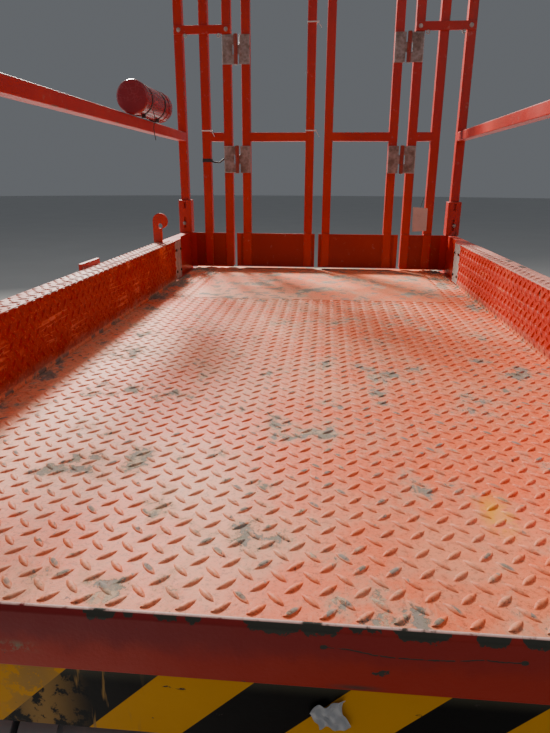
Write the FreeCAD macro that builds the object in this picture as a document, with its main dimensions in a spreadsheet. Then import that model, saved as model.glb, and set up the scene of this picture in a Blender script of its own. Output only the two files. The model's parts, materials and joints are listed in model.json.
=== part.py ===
"""Self-propelled slab scissor lift with a fixed deck, built as a parametric document.

X is to the right, Y runs along the deck from the open gate at its near end to the closed
gate at its far end, Z is up and zero on the floor. Everything is in millimetres.
"""
import FreeCAD, Part
import Sketcher
import math
import os
import sys

doc = FreeCAD.newDocument("ScissorLift")
sheet = doc.addObject("Spreadsheet::Sheet", "Sizes")

# Each driving dimension: its name, its value in mm (or degrees, or a count) and what it is
SIZES = (
    ("deck_length", 2200, "deck plate, end to end"),
    ("deck_inner", 1080, "between the toe walls"),
    ("deck_flange", 60, "out-turned top flange of a toe wall"),
    ("deck_plate", 5, "deck plate and toe walls"),
    ("toe_height", 155, "toe wall over the deck"),
    ("toe_gap", 425, "far end of a toe wall from the deck's far end"),
    ("lip_reach", 10, "folded lip past the deck's near edge"),
    ("lip_tall", 74, "folded lip, height"),
    ("frame_depth", 156, "platform frame under the deck surface"),
    ("beam_wide", 65, "platform side beam, across"),
    ("end_beam", 40, "platform end beam, along"),
    ("cross_end", 350, "outer platform cross beams from the deck's ends"),
    ("cross_wide", 40, "platform cross beams, along"),
    ("cross_deep", 50, "platform cross beams, depth"),
    ("tube", 35, "square tube of the guard rails"),
    ("tube_wall", 3, "wall of the guard rail tube"),
    ("rail_top", 1117.5, "top of the top rail over the deck"),
    ("rail_mid", 553, "middle of the mid rail over the deck"),
    ("cross_bar_drop", 162.5, "middle of the bolted flat bar under the top of the rail"),
    ("cross_bar_tall", 32, "flat bar, height"),
    ("cross_bar_thick", 5, "flat bar, thickness"),
    ("gate_set", 34, "gate plane in from the deck's end"),
    ("post_out", 42.5, "middle of a corner post outside the toe wall"),
    ("second_gap", 103.5, "corner post to second post, middles"),
    ("third_gap", 94, "second post to third post, middles"),
    ("hinge_set", 39, "gate hinge axis to the third post and to the leaf's stile, middles"),
    ("free_x", 39, "middle of a leaf's free stile"),
    ("socket_wide", 55, "post socket, square"),
    ("socket_tall", 140, "post socket, height"),
    ("slot_wide", 8, "slots in the post sockets, across"),
    ("slot_deep", 9, "slots in the post sockets, depth"),
    ("infill_run", 95, "wear plate at the far end of a toe wall, length"),
    ("infill_plate", 6, "plates that close the deck's far corners"),
    ("mid_post_set", 450, "intermediate side post from the deck's near end"),
    ("kick_thick", 4, "kick plates of the end panels"),
    ("kick_gap", 16, "gap between the two leaves' kick plates"),
    ("kick_lift", 6, "gap under the fixed kick plates and the wear plates"),
    ("leaf_lift", 10, "gap under a leaf"),
    ("hinge_barrel", 8, "hinge knuckle radius"),
    ("hinge_pin", 5, "hinge pin radius"),
    ("hinge_run", 0.05, "running clearance of pins in their bores"),
    ("hinge_leaf", 43, "hinge plate width"),
    ("hinge_gap", 5.5, "hinge knuckle to its plates"),
    ("hinge_tall", 108, "hinge height"),
    ("hinge_low_drop", 144, "foot of the lower hinge under the mid rail"),
    ("hinge_high_drop", 289.5, "foot of the upper hinge under the top of the rail"),
    ("hinge_thick", 5, "hinge plate thickness"),
    ("near_gate_open", 120, "how far the near leaves stand open, degrees"),
    ("stages", 5, "scissor stages"),
    ("arm_short", 186, "end pins' distance short of the deck's length"),
    ("arm_deep", 95, "arm depth"),
    ("arm_wide", 50, "arm width"),
    ("arm_gap", 8, "between the inner and outer arms"),
    ("stage_pitch", 145, "rise of one stage, stowed"),
    ("pin_over", 60, "lowest pins over the chassis"),
    ("deck_over", 145, "deck surface over the highest pins"),
    ("pin_set", 96, "fixed end pins in from the deck's far end"),
    ("arm_set", 272, "inner face of an inner arm inside the toe wall"),
    ("pin_radius", 20, "arm pins"),
    ("boss_radius", 48, "rounded arm ends and bosses"),
    ("tie_radius", 30, "cross tubes between the inner arms"),
    ("roller_radius", 36, "slide rollers"),
    ("roller_wide", 34, "slide rollers, width"),
    ("roller_play", 0.5, "roller to track"),
    ("track_plate", 8, "slide track plate"),
    ("track_seat", 12, "plate that joins a lower track to its chassis beam"),
    ("bracket_half", 60, "half the length of a pin bracket"),
    ("bracket_cap", 26, "half the length of a pin bracket beside its pin"),
    ("bracket_rim", 22, "straight edge at the foot of a pin bracket"),
    ("bracket_over", 40, "pin bracket past its pin"),
    ("bracket_wide", 30, "upper pin bracket, across"),
    ("pin_reach", 5, "pins past the arms they hold"),
    ("travel_share", 0.5462, "run of the rollers in their tracks, share of an arm"),
    ("side_gap", 8, "arms to brackets and tracks"),
    ("barrel_share", 0.298, "cylinder base pin along its arm, share of the arm"),
    ("rod_share", 0.71, "cylinder rod pin along its arm, share of the arm"),
    ("barrel_radius", 55, "lift cylinder barrel"),
    ("gland_gap", 142, "gland to rod pin, stowed"),
    ("bore_foot", 160, "closed end of the bore from the base pin"),
    ("piston_gap", 40, "inner end of the rod from the closed end of the bore"),
    ("rod_radius", 32, "lift cylinder rod"),
    ("eye_radius", 38, "cylinder eyes"),
    ("eye_half", 30, "half the width of the cylinder eyes"),
    ("eye_neck", 24, "cylinder eye to the barrel's end"),
    ("yoke_gap", 8, "cylinder eyes to their yokes"),
    ("yoke_plate", 14, "yoke plates"),
    ("yoke_rim", 26, "yoke plates past the cylinder eye"),
    ("yoke_cut", 16, "cut corners of the yoke plates"),
    ("chassis_overhang", 275, "chassis past its axles"),
    ("beam_set", 310, "inner face of a chassis beam inside the toe wall"),
    ("chassis_beam", 60, "chassis beam, across"),
    ("chassis_drop", 53, "underside of the chassis beams under the axles"),
    ("chassis_deep", 220, "chassis beams, depth"),
    ("member_set", 490, "inner cross members from the chassis ends"),
    ("member_wide", 40, "cross members, along"),
    ("beam_hole", 60, "round openings in the chassis beams, radius"),
    ("bumper_out", 45, "bumpers outside the toe walls"),
    ("bumper_lift", 40, "underside of the bumpers over that of the chassis"),
    ("bumper_tall", 120, "far bumper, height"),
    ("bumper_cut", 30, "cut corners of the bumpers"),
    ("bumper_plate", 6, "near bumper plate"),
    ("bumper_reach", 50, "bumper and ladder past the chassis"),
    ("axle_gap", 102, "side tray to tyre"),
    ("axle_deep", 70, "front axle beam, depth"),
    ("axle_wide", 60, "front axle beam, along"),
    ("motor_radius", 80, "drive motor housings"),
    ("motor_flange", 92, "flange of a drive motor, radius"),
    ("motor_reach", 60, "drive motor housings in from the wheels"),
    ("wheel_radius", 203, "tyre, floor to axle"),
    ("wheel_wide", 127, "tyre width"),
    ("wheel_set", 27, "middle of a wheel inside the toe wall"),
    ("tyre_cut", 13, "sloped shoulder of a tyre"),
    ("rim_radius", 142, "rim"),
    ("rim_lip", 12, "rim lip"),
    ("rim_dish", 30, "depth of the dished outer side of a rim"),
    ("hub_radius", 60, "raised hub of a rim"),
    ("recess_radius", 118, "hollow inner side of a wheel"),
    ("recess_deep", 62, "depth of that hollow"),
    ("spindle_radius", 25, "wheel spindle"),
    ("kingpin_set", 98, "kingpin axis inside the middle of its wheel"),
    ("kingpin_radius", 16, "kingpin"),
    ("kingpin_boss", 28, "axle end boss"),
    ("kingpin_half", 50, "half the height of the axle end boss"),
    ("knuckle_gap", 6, "axle end boss to the knuckle plates"),
    ("knuckle_plate", 16, "knuckle plates"),
    ("knuckle_web", 18, "upright of a knuckle"),
    ("knuckle_half", 40, "half the length of that upright"),
    ("knuckle_room", 28, "knuckle upright to the wheel disc"),
    ("spindle_reach", 45, "spindles into the wheel discs"),
    ("steer_arm", 90, "kingpin to tie rod"),
    ("steer_eye", 20, "tie rod eyes, radius"),
    ("steer_bar", 12, "tie rod, radius"),
    ("steer_deep", 26, "tie rod eyes, height"),
    ("tray_gap", 40, "side tray to chassis beam"),
    ("tray_out", 38, "outer face of a side tray outside the toe wall"),
    ("tray_set", 490, "side tray from the deck's ends"),
    ("tray_drop", 25, "underside of a side tray under the chassis"),
    ("tray_lower", 20, "top of a side tray under that of the chassis"),
    ("tray_wall", 4, "tray plate"),
    ("tray_cut_low", 30, "sloped lower edge of a tray"),
    ("tray_cut_top", 22, "sloped upper edge of a tray"),
    ("load_side", 36, "unit in a tray to the tray's outer face"),
    ("load_near", 40, "unit in a tray to the tray's near end"),
    ("load_far", 200, "unit in a tray to the tray's far end"),
    ("tray_hinge_radius", 12, "tray hinge knuckle"),
    ("tray_pin_radius", 7, "tray hinge pin"),
    ("tray_hinge_drop", 85, "middle of the tray hinge under the tray's top"),
    ("tray_ear", 40, "tray ears over and under the fixed knuckle"),
    ("tray_hinge_half", 35, "half the height of the fixed knuckle"),
    ("lug_hole", 18, "tie-down hole radius"),
    ("lug_plate", 12, "tie-down lug thickness"),
    ("lug_drop", 32, "tie-down hole under the chassis"),
    ("lug_set", 50, "tie-down hole in from the chassis end"),
    ("lug_half", 40, "half the length of a tie-down lug"),
    ("lug_reach", 34, "tie-down lug past its hole"),
    ("lug_rim", 20, "half the length of its lower edge"),
    ("guard_low", 55, "underside of a pothole guard"),
    ("guard_tall", 55, "pothole guard, height"),
    ("guard_wide", 60, "pothole guard, across"),
    ("guard_cut", 12, "cut edge of a pothole guard"),
    ("ladder_set", 340, "ladder sides inside the toe walls"),
    ("ladder_tall", 710, "ladder, height"),
    ("ladder_lift", 150, "foot of the ladder over the underside of the chassis"),
    ("rung_pitch", 250, "ladder rungs"),
    ("rung_lift", 20, "lowest rung over the ladder's foot"),
    ("rung_tall", 25, "ladder rung, height"),
    ("rung_wall", 5, "ladder rung plate"),
    ("stringer", 12, "ladder side plates"),
    ("canister_radius", 50, "document canister"),
    ("canister_length", 300, "document canister"),
    ("canister_set", 620, "middle of the canister from the deck's far end"),
    ("canister_out", 20, "canister axis outside the toe wall"),
    ("canister_step", 2, "cap and foot rings over the canister's body"),
    ("canister_cap", 48, "canister cap, length"),
    ("canister_foot", 12, "canister foot ring, length"),
    ("box_wide", 130, "control box, across"),
    ("box_half", 90, "half the length of the control box"),
    ("box_set", 630, "middle of the control box from the deck's near end"),
    ("box_drop", 20, "control box under the top of the top rail"),
    ("box_tall", 200, "control box, height"),
    ("box_slope", 60, "slope of its panel"),
    ("box_cut", 14, "cut lower edge of the control box"),
    ("box_gap", 0.3, "seats of the boxes on the rails"),
    ("hook_out", 37, "hook plate's head outside the left toe wall"),
    ("hook_set", 55, "hook plate from the far end of the toe wall"),
    ("hook_radius", 28, "head of the hook plate"),
    ("hook_rise", 79, "middle of its head over the flange"),
    ("hook_hole", 9, "its eye, radius"),
    ("hook_thick", 10, "its thickness"),
    ("pad_half", 62, "half the length of the bracket outside the left toe wall"),
    ("pad_tall", 15, "that bracket over the flange"),
)


class Size:
    """A length that knows both its formula over the sheet and its value."""

    def __init__(self, text, value):
        self.text = text
        self.value = value

    def __add__(self, other):
        other = size(other)
        return Size(f"({self.text} + {other.text})", self.value + other.value)

    def __sub__(self, other):
        other = size(other)
        return Size(f"({self.text} - {other.text})", self.value - other.value)

    def __mul__(self, other):
        other = size(other)
        return Size(f"({self.text} * {other.text})", self.value * other.value)

    def __truediv__(self, other):
        other = size(other)
        return Size(f"({self.text} / {other.text})", self.value / other.value)

    def __neg__(self):
        return Size(f"(-1 * {self.text})", -self.value)

    def __radd__(self, other):
        return size(other) + self

    def __rsub__(self, other):
        return size(other) - self

    def __rmul__(self, other):
        return size(other) * self


def size(number):
    return number if isinstance(number, Size) else Size(f"{number:g}", float(number))


def root(a):
    return Size(f"sqrt({a.text})", math.sqrt(a.value))


def angle_of_sine(a):
    return Size(f"asin({a.text})", math.degrees(math.asin(a.value)))


def sine(a):
    return Size(f"sin({a.text})", math.sin(math.radians(a.value)))


def cosine(a):
    return Size(f"cos({a.text})", math.cos(math.radians(a.value)))


for row, (alias, number, meaning) in enumerate(SIZES, start=1):
    sheet.set(f"A{row}", str(number))
    sheet.setAlias(f"A{row}", alias)
    sheet.set(f"B{row}", meaning)
doc.recompute()


class Sheet:
    """Gives each alias of the sheet as a Size."""

    def __getattr__(self, alias):
        return Size(f"Sizes.{alias}", float(sheet.get(alias)))


S = Sheet()
nodes = {}


def bind(item, prop, amount):
    item.setExpression(prop, size(amount).text)


def place(item, x=0, y=0, z=0, axis=None, angle=None):
    """Puts an object at x, y, z, turned by an angle about an axis."""
    if axis is not None:
        item.Placement = FreeCAD.Placement(FreeCAD.Vector(), FreeCAD.Rotation(FreeCAD.Vector(*axis), 1))
        bind(item, "Placement.Rotation.Angle", angle)
    for name, amount in zip("xyz", (x, y, z)):
        bind(item, f"Placement.Base.{name}", amount)
    return item


def block(name, x, y, z):
    """A box between pairs of limits."""
    item = doc.addObject("Part::Box", name)
    for prop, (low, high) in zip(("Length", "Width", "Height"), (x, y, z)):
        bind(item, prop, size(high) - low)
    return place(item, x[0], y[0], z[0])


def round_bar(name, axis, radius, along, at):
    """A cylinder along an axis between two limits; at gives the other two coordinates."""
    item = doc.addObject("Part::Cylinder", name)
    bind(item, "Radius", radius)
    bind(item, "Height", size(along[1]) - along[0])
    turns = {"x": ((0, 1, 0), 90), "y": ((1, 0, 0), -90), "z": ((0, 0, 1), 0)}
    about, degrees = turns[axis]
    item.Placement = FreeCAD.Placement(
        FreeCAD.Vector(), FreeCAD.Rotation(FreeCAD.Vector(*about), degrees)
    )
    spots = {"x": (along[0], *at), "y": (at[0], along[0], at[1]), "z": (*at, along[0])}
    for letter, amount in zip("xyz", spots[axis]):
        bind(item, f"Placement.Base.{letter}", amount)
    return item


def fuse(name, parts):
    item = doc.addObject("Part::MultiFuse", name)
    item.Shapes = parts
    item.Refine = True
    return item


def cut(name, base, tools):
    tool = tools[0] if len(tools) == 1 else fuse(name + "_tools", tools)
    item = doc.addObject("Part::Cut", name)
    item.Base = base
    item.Tool = tool
    return item


def mirrored(name, source):
    item = doc.addObject("Part::Mirroring", name)
    item.Source = source
    item.Base = (0, 0, 0)
    item.Normal = (1, 0, 0)
    return item


def both_sides(name, source):
    return fuse(name, [source, mirrored(name + "_left", source)])


def node(name, item):
    """Names a finished sub-part; its file takes the label."""
    item.Label = name
    nodes[name] = item
    return item


def profile(body, role, points, name):
    """A closed sketch of straight lines on one of a body's own planes, tied to the sheet."""
    plane = next(f for f in body.Origin.OriginFeatures if f.Role == role)
    sketch = body.newObject("Sketcher::SketchObject", name)
    sketch.AttachmentSupport = (plane, [""])
    sketch.MapMode = "FlatFace"
    spots = [(size(u), size(v)) for u, v in points]
    ends = [FreeCAD.Vector(u.value, v.value, 0) for u, v in spots]
    for start, end in zip(ends, ends[1:] + ends[:1]):
        sketch.addGeometry(Part.LineSegment(start, end))
    for i in range(len(ends)):
        sketch.addConstraint(Sketcher.Constraint("Coincident", i, 2, (i + 1) % len(ends), 1))
    for i, (u, v) in enumerate(spots):
        for kind, amount in (("DistanceX", u), ("DistanceY", v)):
            index = sketch.addConstraint(Sketcher.Constraint(kind, -1, 1, i, 1, amount.value))
            sketch.setExpression(f"Constraints[{index}]", amount.text)
    return sketch


def revolved(name, points):
    """A ring revolved about X from a half section of (x, radius) points in the XZ plane."""
    body = doc.addObject("PartDesign::Body", name)
    sketch = profile(body, "XZ_Plane", points, name + "_section")
    turn = body.newObject("PartDesign::Revolution", name + "_turn")
    turn.Profile = sketch
    axis = next(f for f in body.Origin.OriginFeatures if f.Role == "X_Axis")
    turn.ReferenceAxis = (axis, [""])
    turn.Angle = 360
    sketch.Visibility = False
    body.Tip = turn
    return body


def plate(name, normal, outline, low, high):
    """A plate cut to an outline, square to an axis and between two limits on it."""
    plane = {"x": "YZ_Plane", "y": "XZ_Plane", "z": "XY_Plane"}[normal]
    body = doc.addObject("PartDesign::Body", name)
    sketch = profile(body, plane, outline, name + "_outline")
    pad = body.newObject("PartDesign::Pad", name + "_pad")
    pad.Profile = sketch
    bind(pad, "Length", size(high) - low)
    sketch.Visibility = False
    body.Tip = pad
    # A sketch in the XZ plane faces -Y, so its pad grows down from the upper limit
    bind(body, f"Placement.Base.{normal}", high if normal == "y" else low)
    return body


# Lengths that follow from the sheet: the deck's length and width carry the other layers with them
half_deck = S.deck_length / 2
half_inner = S.deck_inner / 2
half_wide = half_inner + S.deck_flange
half_tube = S.tube / 2
arm_pins = S.deck_length - S.arm_short
fixed_pin_y = half_deck - S.pin_set
chassis_low = S.wheel_radius - S.chassis_drop
chassis_top = chassis_low + S.chassis_deep
base_pin_z = chassis_top + S.pin_over
top_pin_z = base_pin_z + S.stages * S.stage_pitch
deck = top_pin_z + S.deck_over
deck_under = deck - S.deck_plate
frame_low = deck - S.frame_depth
rail_high = deck + S.rail_top
gate_y = half_deck - S.gate_set
corner_x = half_inner + S.post_out
second_x = corner_x - S.second_gap
third_x = second_x - S.third_gap
hinge_x = third_x - S.hinge_set
stile_x = hinge_x - S.hinge_set
inner_arm_x = half_inner - S.arm_set
inner_arm_end = inner_arm_x + S.arm_wide
outer_arm_x = inner_arm_end + S.arm_gap
outer_arm_end = outer_arm_x + S.arm_wide
track_x = outer_arm_end + S.side_gap
track_end_x = track_x + S.roller_wide + S.track_plate
stow_angle = angle_of_sine(S.stage_pitch / arm_pins)
stow_run = root(arm_pins * arm_pins - S.stage_pitch * S.stage_pitch)
slide_pin_y = fixed_pin_y - stow_run
barrel_pin_u = arm_pins * S.barrel_share
rod_pin_u = arm_pins * S.rod_share
eye_pin = S.pin_radius * 0.8
chassis_beam_x = half_inner - S.beam_set
beam_x = (chassis_beam_x, chassis_beam_x + S.chassis_beam)
wheel_x = half_inner - S.wheel_set
kingpin_x = wheel_x - S.kingpin_set
tray_inner = beam_x[1] + S.tray_gap
tray_outer = half_inner + S.tray_out
tray_half = half_deck - S.tray_set
tray_low = chassis_low - S.tray_drop
tray_top = chassis_top - S.tray_lower
tray_hinge_z = tray_top - S.tray_hinge_drop
axle_y = tray_half + S.axle_gap + S.wheel_radius
half_chassis = axle_y + S.chassis_overhang
lug_y = half_chassis - S.lug_set
lug_z = chassis_low - S.lug_drop


# Guard rail tubes
def tube(name, x, y, z):
    """A square tube between limits, open at the two ends of its longest side."""
    outer = block(name + "_outer", x, y, z)
    spans = [(size(high) - low).value for low, high in (x, y, z)]
    run = spans.index(max(spans))
    inner = []
    for i, (low, high) in enumerate((x, y, z)):
        inner.append((low, high) if i == run else (size(low) + S.tube_wall, size(high) - S.tube_wall))
    return cut(name, outer, [block(name + "_bore", *inner)])


def around(middle):
    return (size(middle) - half_tube, size(middle) + half_tube)


# Deck: one plate with its toe walls bent up, their flanges bent out and a folded lip at the near end
wall_far = half_deck - S.toe_gap
flange_top = deck + S.toe_height
toe_y = (-half_deck, wall_far)
toe = fuse("toe_right", [
    block("toe_wall", (half_inner, half_inner + S.deck_plate), toe_y, (deck_under, flange_top)),
    block("toe_flange", (half_inner, half_wide), toe_y, (flange_top - S.deck_plate, flange_top)),
])
lip_face = -half_deck - S.lip_reach
lip = plate("near_lip", "x", (
    (-half_deck, deck), (lip_face + S.deck_plate, deck), (lip_face, deck - S.deck_plate),
    (lip_face, deck - S.lip_tall * 2 / 3), (lip_face + S.deck_plate / 2, deck - S.lip_tall),
    (-half_deck, deck - S.lip_tall),
), -half_wide, half_wide)
hook_z = flange_top + S.hook_rise
hook_x = -half_inner - S.hook_out
hook_end = wall_far - S.hook_set + S.hook_thick / 2
hook_y = (hook_end - S.hook_thick, hook_end)
hook_solid = fuse("hook_solid", [
    block("hook_stem", (hook_x - S.hook_radius, hook_x + S.deck_plate), hook_y, (flange_top, hook_z)),
    round_bar("hook_head", "y", S.hook_radius, hook_y, (hook_x, hook_z)),
])
hook_eye = (hook_x, hook_z - half_tube)
hook = cut("hook_plate", hook_solid, [
    round_bar("hook_eye", "y", S.hook_hole, (hook_y[0] - 1, hook_y[1] + 1), hook_eye),
])
pad_x = (-half_wide - S.lip_reach, -half_wide)
pad_z = (flange_top - S.pad_tall, flange_top + S.pad_tall)
pad = block("outer_pad", pad_x, (-S.pad_half, S.pad_half), pad_z)
node("deck", fuse("deck_plate_part", [
    block("deck_floor", (-half_inner - S.deck_plate, half_inner + S.deck_plate), (-half_deck, half_deck),
          (deck_under, deck)),
    both_sides("toe_walls", toe), lip, hook, pad,
]))

# Platform frame: side beams with the far roller tracks, end beams and cross channels
beam_top = deck_under
cross_low = beam_top - S.cross_deep
beam_inner = half_wide - S.beam_wide
frame_z = (frame_low, beam_top)
side_run = (-half_deck + S.end_beam, half_deck - S.end_beam)
side_beam = block("side_beam", (beam_inner, half_wide), side_run, frame_z)
end_beams = [
    block("near_beam", (-half_wide, half_wide), (-half_deck, -half_deck + S.end_beam), frame_z),
    block("far_beam", (-half_wide, half_wide), (half_deck - S.end_beam, half_deck), frame_z),
]
cross_beams = []
cross_pitch = (S.deck_length - S.cross_end * 2) / 4
for i in range(-2, 3):
    cross_y = (i * cross_pitch - S.cross_wide / 2, i * cross_pitch + S.cross_wide / 2)
    cross_x = (-beam_inner, beam_inner)
    cross_beams.append(block(f"cross_beam_{i + 3}", cross_x, cross_y, (cross_low, beam_top)))
platform_frame = [both_sides("side_beams", side_beam)] + end_beams + cross_beams
node("platform_frame", fuse("platform_frame_part", platform_frame))


def track(name, pin_z, y, side_top, side_low):
    """A channel open towards the middle, in which a roller runs."""
    half = S.roller_radius + S.roller_play
    x0 = track_x
    x1 = track_x + S.roller_wide + S.track_plate
    return fuse(name, [
        block(name + "_floor", (x0, x1), y, (size(side_low), pin_z - half)),
        block(name + "_roof", (x0, x1), y, (pin_z + half, size(side_top))),
        block(name + "_web", (x1 - S.track_plate, x1), y, (pin_z - half, pin_z + half)),
    ])


track_half = S.roller_radius + S.roller_play + S.track_plate
track_y = (-half_deck + S.end_beam, slide_pin_y + arm_pins * S.travel_share + S.roller_radius + 10)
upper_track = track("upper_track", top_pin_z, track_y, cross_low, top_pin_z - track_half)
node("upper_tracks", both_sides("upper_tracks_part", upper_track))
lower_track = fuse("lower_track_seated", [
    track("lower_track", base_pin_z, track_y, base_pin_z + track_half, chassis_top),
    block("track_seat", (beam_x[1], track_end_x), track_y, (chassis_top - S.track_seat, chassis_top)),
])
node("lower_tracks", both_sides("lower_tracks_part", lower_track))

# Pin brackets: the chassis holds the lowest fixed pins, the platform the highest
pin_run = S.pin_radius + S.hinge_run
bracket_y = (fixed_pin_y - S.bracket_half, fixed_pin_y + S.bracket_half)
bracket_cap = (fixed_pin_y - S.bracket_cap, fixed_pin_y + S.bracket_cap)
bracket_tip = base_pin_z + S.bracket_over
bracket_rim = chassis_top + S.bracket_rim
base_plate = plate("base_bracket_plate", "x", (
    (bracket_y[0], chassis_top), (bracket_y[1], chassis_top), (bracket_y[1], bracket_rim),
    (bracket_cap[1], bracket_tip), (bracket_cap[0], bracket_tip), (bracket_y[0], bracket_rim),
), inner_arm_x, inner_arm_end)
base_pin_x = (inner_arm_end - S.pin_reach, outer_arm_end + S.pin_reach)
base_pin = round_bar("base_pin", "x", S.pin_radius, base_pin_x, (fixed_pin_y, base_pin_z))
node("base_brackets", both_sides("base_brackets_part", fuse("base_bracket", [base_plate, base_pin])))
cap_far = half_deck - S.end_beam
cap_tip = top_pin_z - S.bracket_over
bracket_end_x = track_x + S.bracket_wide
cap_rim = cross_low - S.bracket_rim
cap = plate("top_bracket_plate", "x", (
    (bracket_y[0], cross_low), (bracket_y[0], cap_rim), (bracket_cap[0], cap_tip),
    (bracket_cap[1], cap_tip), (cap_far, cap_rim), (cap_far, cross_low),
), track_x, bracket_end_x)
cap_span = (track_x - 1, bracket_end_x + 1)
cap_bore = round_bar("top_bracket_bore", "x", pin_run, cap_span, (fixed_pin_y, top_pin_z))
node("top_brackets", both_sides("top_brackets_part", cut("top_bracket", cap, [cap_bore])))


# Scissor arms, drawn from their pin at the fixed end and then turned to the stowed angle
def arm_beam(name, x):
    """One rectangular arm with round ends and bosses at its three pins."""
    half = S.arm_deep / 2
    pieces = [block(name + "_beam", x, (-arm_pins, 0), (-half, half))]
    for label, y in (("fixed", 0), ("centre", -arm_pins / 2), ("slide", -arm_pins)):
        pieces.append(round_bar(f"{name}_{label}", "x", S.boss_radius, x, (y, 0)))
    return fuse(name, pieces)


def outer_arm(stage):
    """An outer pair: bores at the fixed end, the centre and, but at the top, the slide end."""
    name = f"outer_arms_{stage}"
    x = (outer_arm_x, outer_arm_end)
    last = stage == int(S.stages.value)
    spots = [0, -arm_pins / 2] + ([] if last else [-arm_pins])
    bores = [
        round_bar(f"{name}_bore_{i}", "x", pin_run, (x[0] - 1, x[1] + 1), (y, 0))
        for i, y in enumerate(spots)
    ]
    arm = cut(name + "_side", arm_beam(name + "_bar", x), bores)
    if last:
        stub_x = (x[1], track_x + S.roller_wide - 1)
        stub = round_bar(name + "_stub", "x", S.pin_radius, stub_x, (-arm_pins, 0))
        arm = fuse(name + "_with_stub", [arm, stub])
    pair = both_sides(name + "_part", arm)
    place(pair, 0, fixed_pin_y, base_pin_z + (stage - 1) * S.stage_pitch, (1, 0, 0), -stow_angle)
    return node(name, pair)


def inner_arm(stage):
    """An inner pair with its cross tubes, its centre pins and the pins at its two ends."""
    name = f"inner_arms_{stage}"
    x = (inner_arm_x, inner_arm_end)
    reach = outer_arm_end + S.pin_reach
    first = stage == 1
    last = stage == int(S.stages.value)
    pieces = [arm_beam(name + "_bar", x)]
    ends = {"centre": (-arm_pins / 2, reach), "fixed": (0, reach), "slide": (-arm_pins, reach)}
    if last:
        ends["fixed"] = (0, bracket_end_x)
    if first:
        ends["slide"] = (-arm_pins, track_x + S.roller_wide - 1)
    for label, (y, end) in ends.items():
        pieces.append(round_bar(f"{name}_pin_{label}", "x", S.pin_radius, (x[1], end), (y, 0)))
    pair = [both_sides(name + "_sides", fuse(name + "_right", pieces))]
    for label, y in (("fixed", 0), ("slide", -arm_pins)):
        pair.append(round_bar(f"{name}_tie_{label}", "x", S.tie_radius, (-x[0], x[0]), (y, 0)))
    yokes = {2: (-barrel_pin_u, -1), 3: (-rod_pin_u, 1)}
    if stage in yokes:
        pair.append(yoke(name + "_yoke", *yokes[stage]))
    arms = fuse(name + "_part", pair)
    place(arms, 0, fixed_pin_y, base_pin_z + stage * S.stage_pitch, (1, 0, 0), stow_angle)
    return node(name, arms)


def yoke(name, y, side):
    """A cross tube broken in the middle by two plates, joined behind the cylinder's eye."""
    inner = S.eye_half + S.yoke_gap
    outer = inner + S.yoke_plate
    edge = S.eye_radius + S.yoke_rim
    half = S.eye_radius
    cut_z = S.eye_radius - S.yoke_cut
    bridge_z = (edge - S.yoke_plate, edge) if side > 0 else (-edge, -edge + S.yoke_plate)
    outline = [
        (y - half, side * edge), (y - half, -side * cut_z), (y - half + S.yoke_cut, -side * half),
        (y + half - S.yoke_cut, -side * half), (y + half, -side * cut_z), (y + half, side * edge),
    ]
    right = fuse(name + "_right", [
        round_bar(name + "_tube", "x", S.tie_radius, (outer, inner_arm_x), (y, 0)),
        plate(name + "_plate", "x", outline, inner, outer),
    ])
    bridge = block(name + "_bridge", (-inner, inner), (y - half, y + half), bridge_z)
    solid = fuse(name + "_solid", [both_sides(name + "_sides", right), bridge])
    if side > 0:
        return solid
    bore = round_bar(name + "_bore", "x", eye_pin + S.hinge_run, (-outer - 1, outer + 1), (y, 0))
    return cut(name, solid, [bore])


for stage_number in range(1, int(S.stages.value) + 1):
    outer_arm(stage_number)
    inner_arm(stage_number)

# Slide rollers: the lowest inner arms run on the chassis, the highest outer arms under the deck
for name, z in (("lower_rollers", base_pin_z), ("upper_rollers", top_pin_z)):
    tread_x = (track_x + 1, track_x + S.roller_wide - 1)
    wheel = round_bar(name + "_rim", "x", S.roller_radius, tread_x, (slide_pin_y, z))
    bore = round_bar(name + "_bore", "x", S.pin_radius, (track_x, track_x + S.roller_wide), (slide_pin_y, z))
    node(name, both_sides(name + "_part", cut(name + "_side", wheel, [bore])))

# Lift cylinder, drawn along Y from its base pin and turned to its stowed slope
u_run = rod_pin_u - barrel_pin_u
base_at = (
    fixed_pin_y - barrel_pin_u * cosine(stow_angle),
    base_pin_z + 2 * S.stage_pitch - barrel_pin_u * sine(stow_angle),
)
tip_at = (
    fixed_pin_y - rod_pin_u * cosine(stow_angle),
    base_pin_z + 3 * S.stage_pitch - rod_pin_u * sine(stow_angle),
)
rise = tip_at[1] - base_at[1]
run = base_at[0] - tip_at[0]
cylinder_length = root(rise * rise + run * run)
cylinder_angle = angle_of_sine(rise / cylinder_length)
barrel_length = cylinder_length - S.gland_gap
rod_run = S.rod_radius + S.hinge_run
pin_half = S.eye_half + S.yoke_gap + S.yoke_plate
barrel = cut("barrel_part", fuse("barrel_solid", [
    round_bar("barrel_tube", "y", S.barrel_radius, (-barrel_length, -S.eye_radius - S.eye_neck), (0, 0)),
    block("barrel_neck", (-S.eye_half, S.eye_half), (-S.eye_radius - S.eye_neck - 4, 0),
          (-S.eye_radius + 6, S.eye_radius - 6)),
    round_bar("barrel_eye", "x", S.eye_radius, (-S.eye_half, S.eye_half), (0, 0)),
    round_bar("barrel_pin", "x", eye_pin, (-pin_half, pin_half), (0, 0)),
]), [round_bar("barrel_bore", "y", rod_run, (-barrel_length - 1, -S.bore_foot), (0, 0))])
place(barrel, 0, base_at[0], base_at[1], (1, 0, 0), -cylinder_angle)
node("cylinder_barrel", barrel)
rod_y = (-cylinder_length + S.eye_radius - 6, -S.bore_foot - S.piston_gap)
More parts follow.
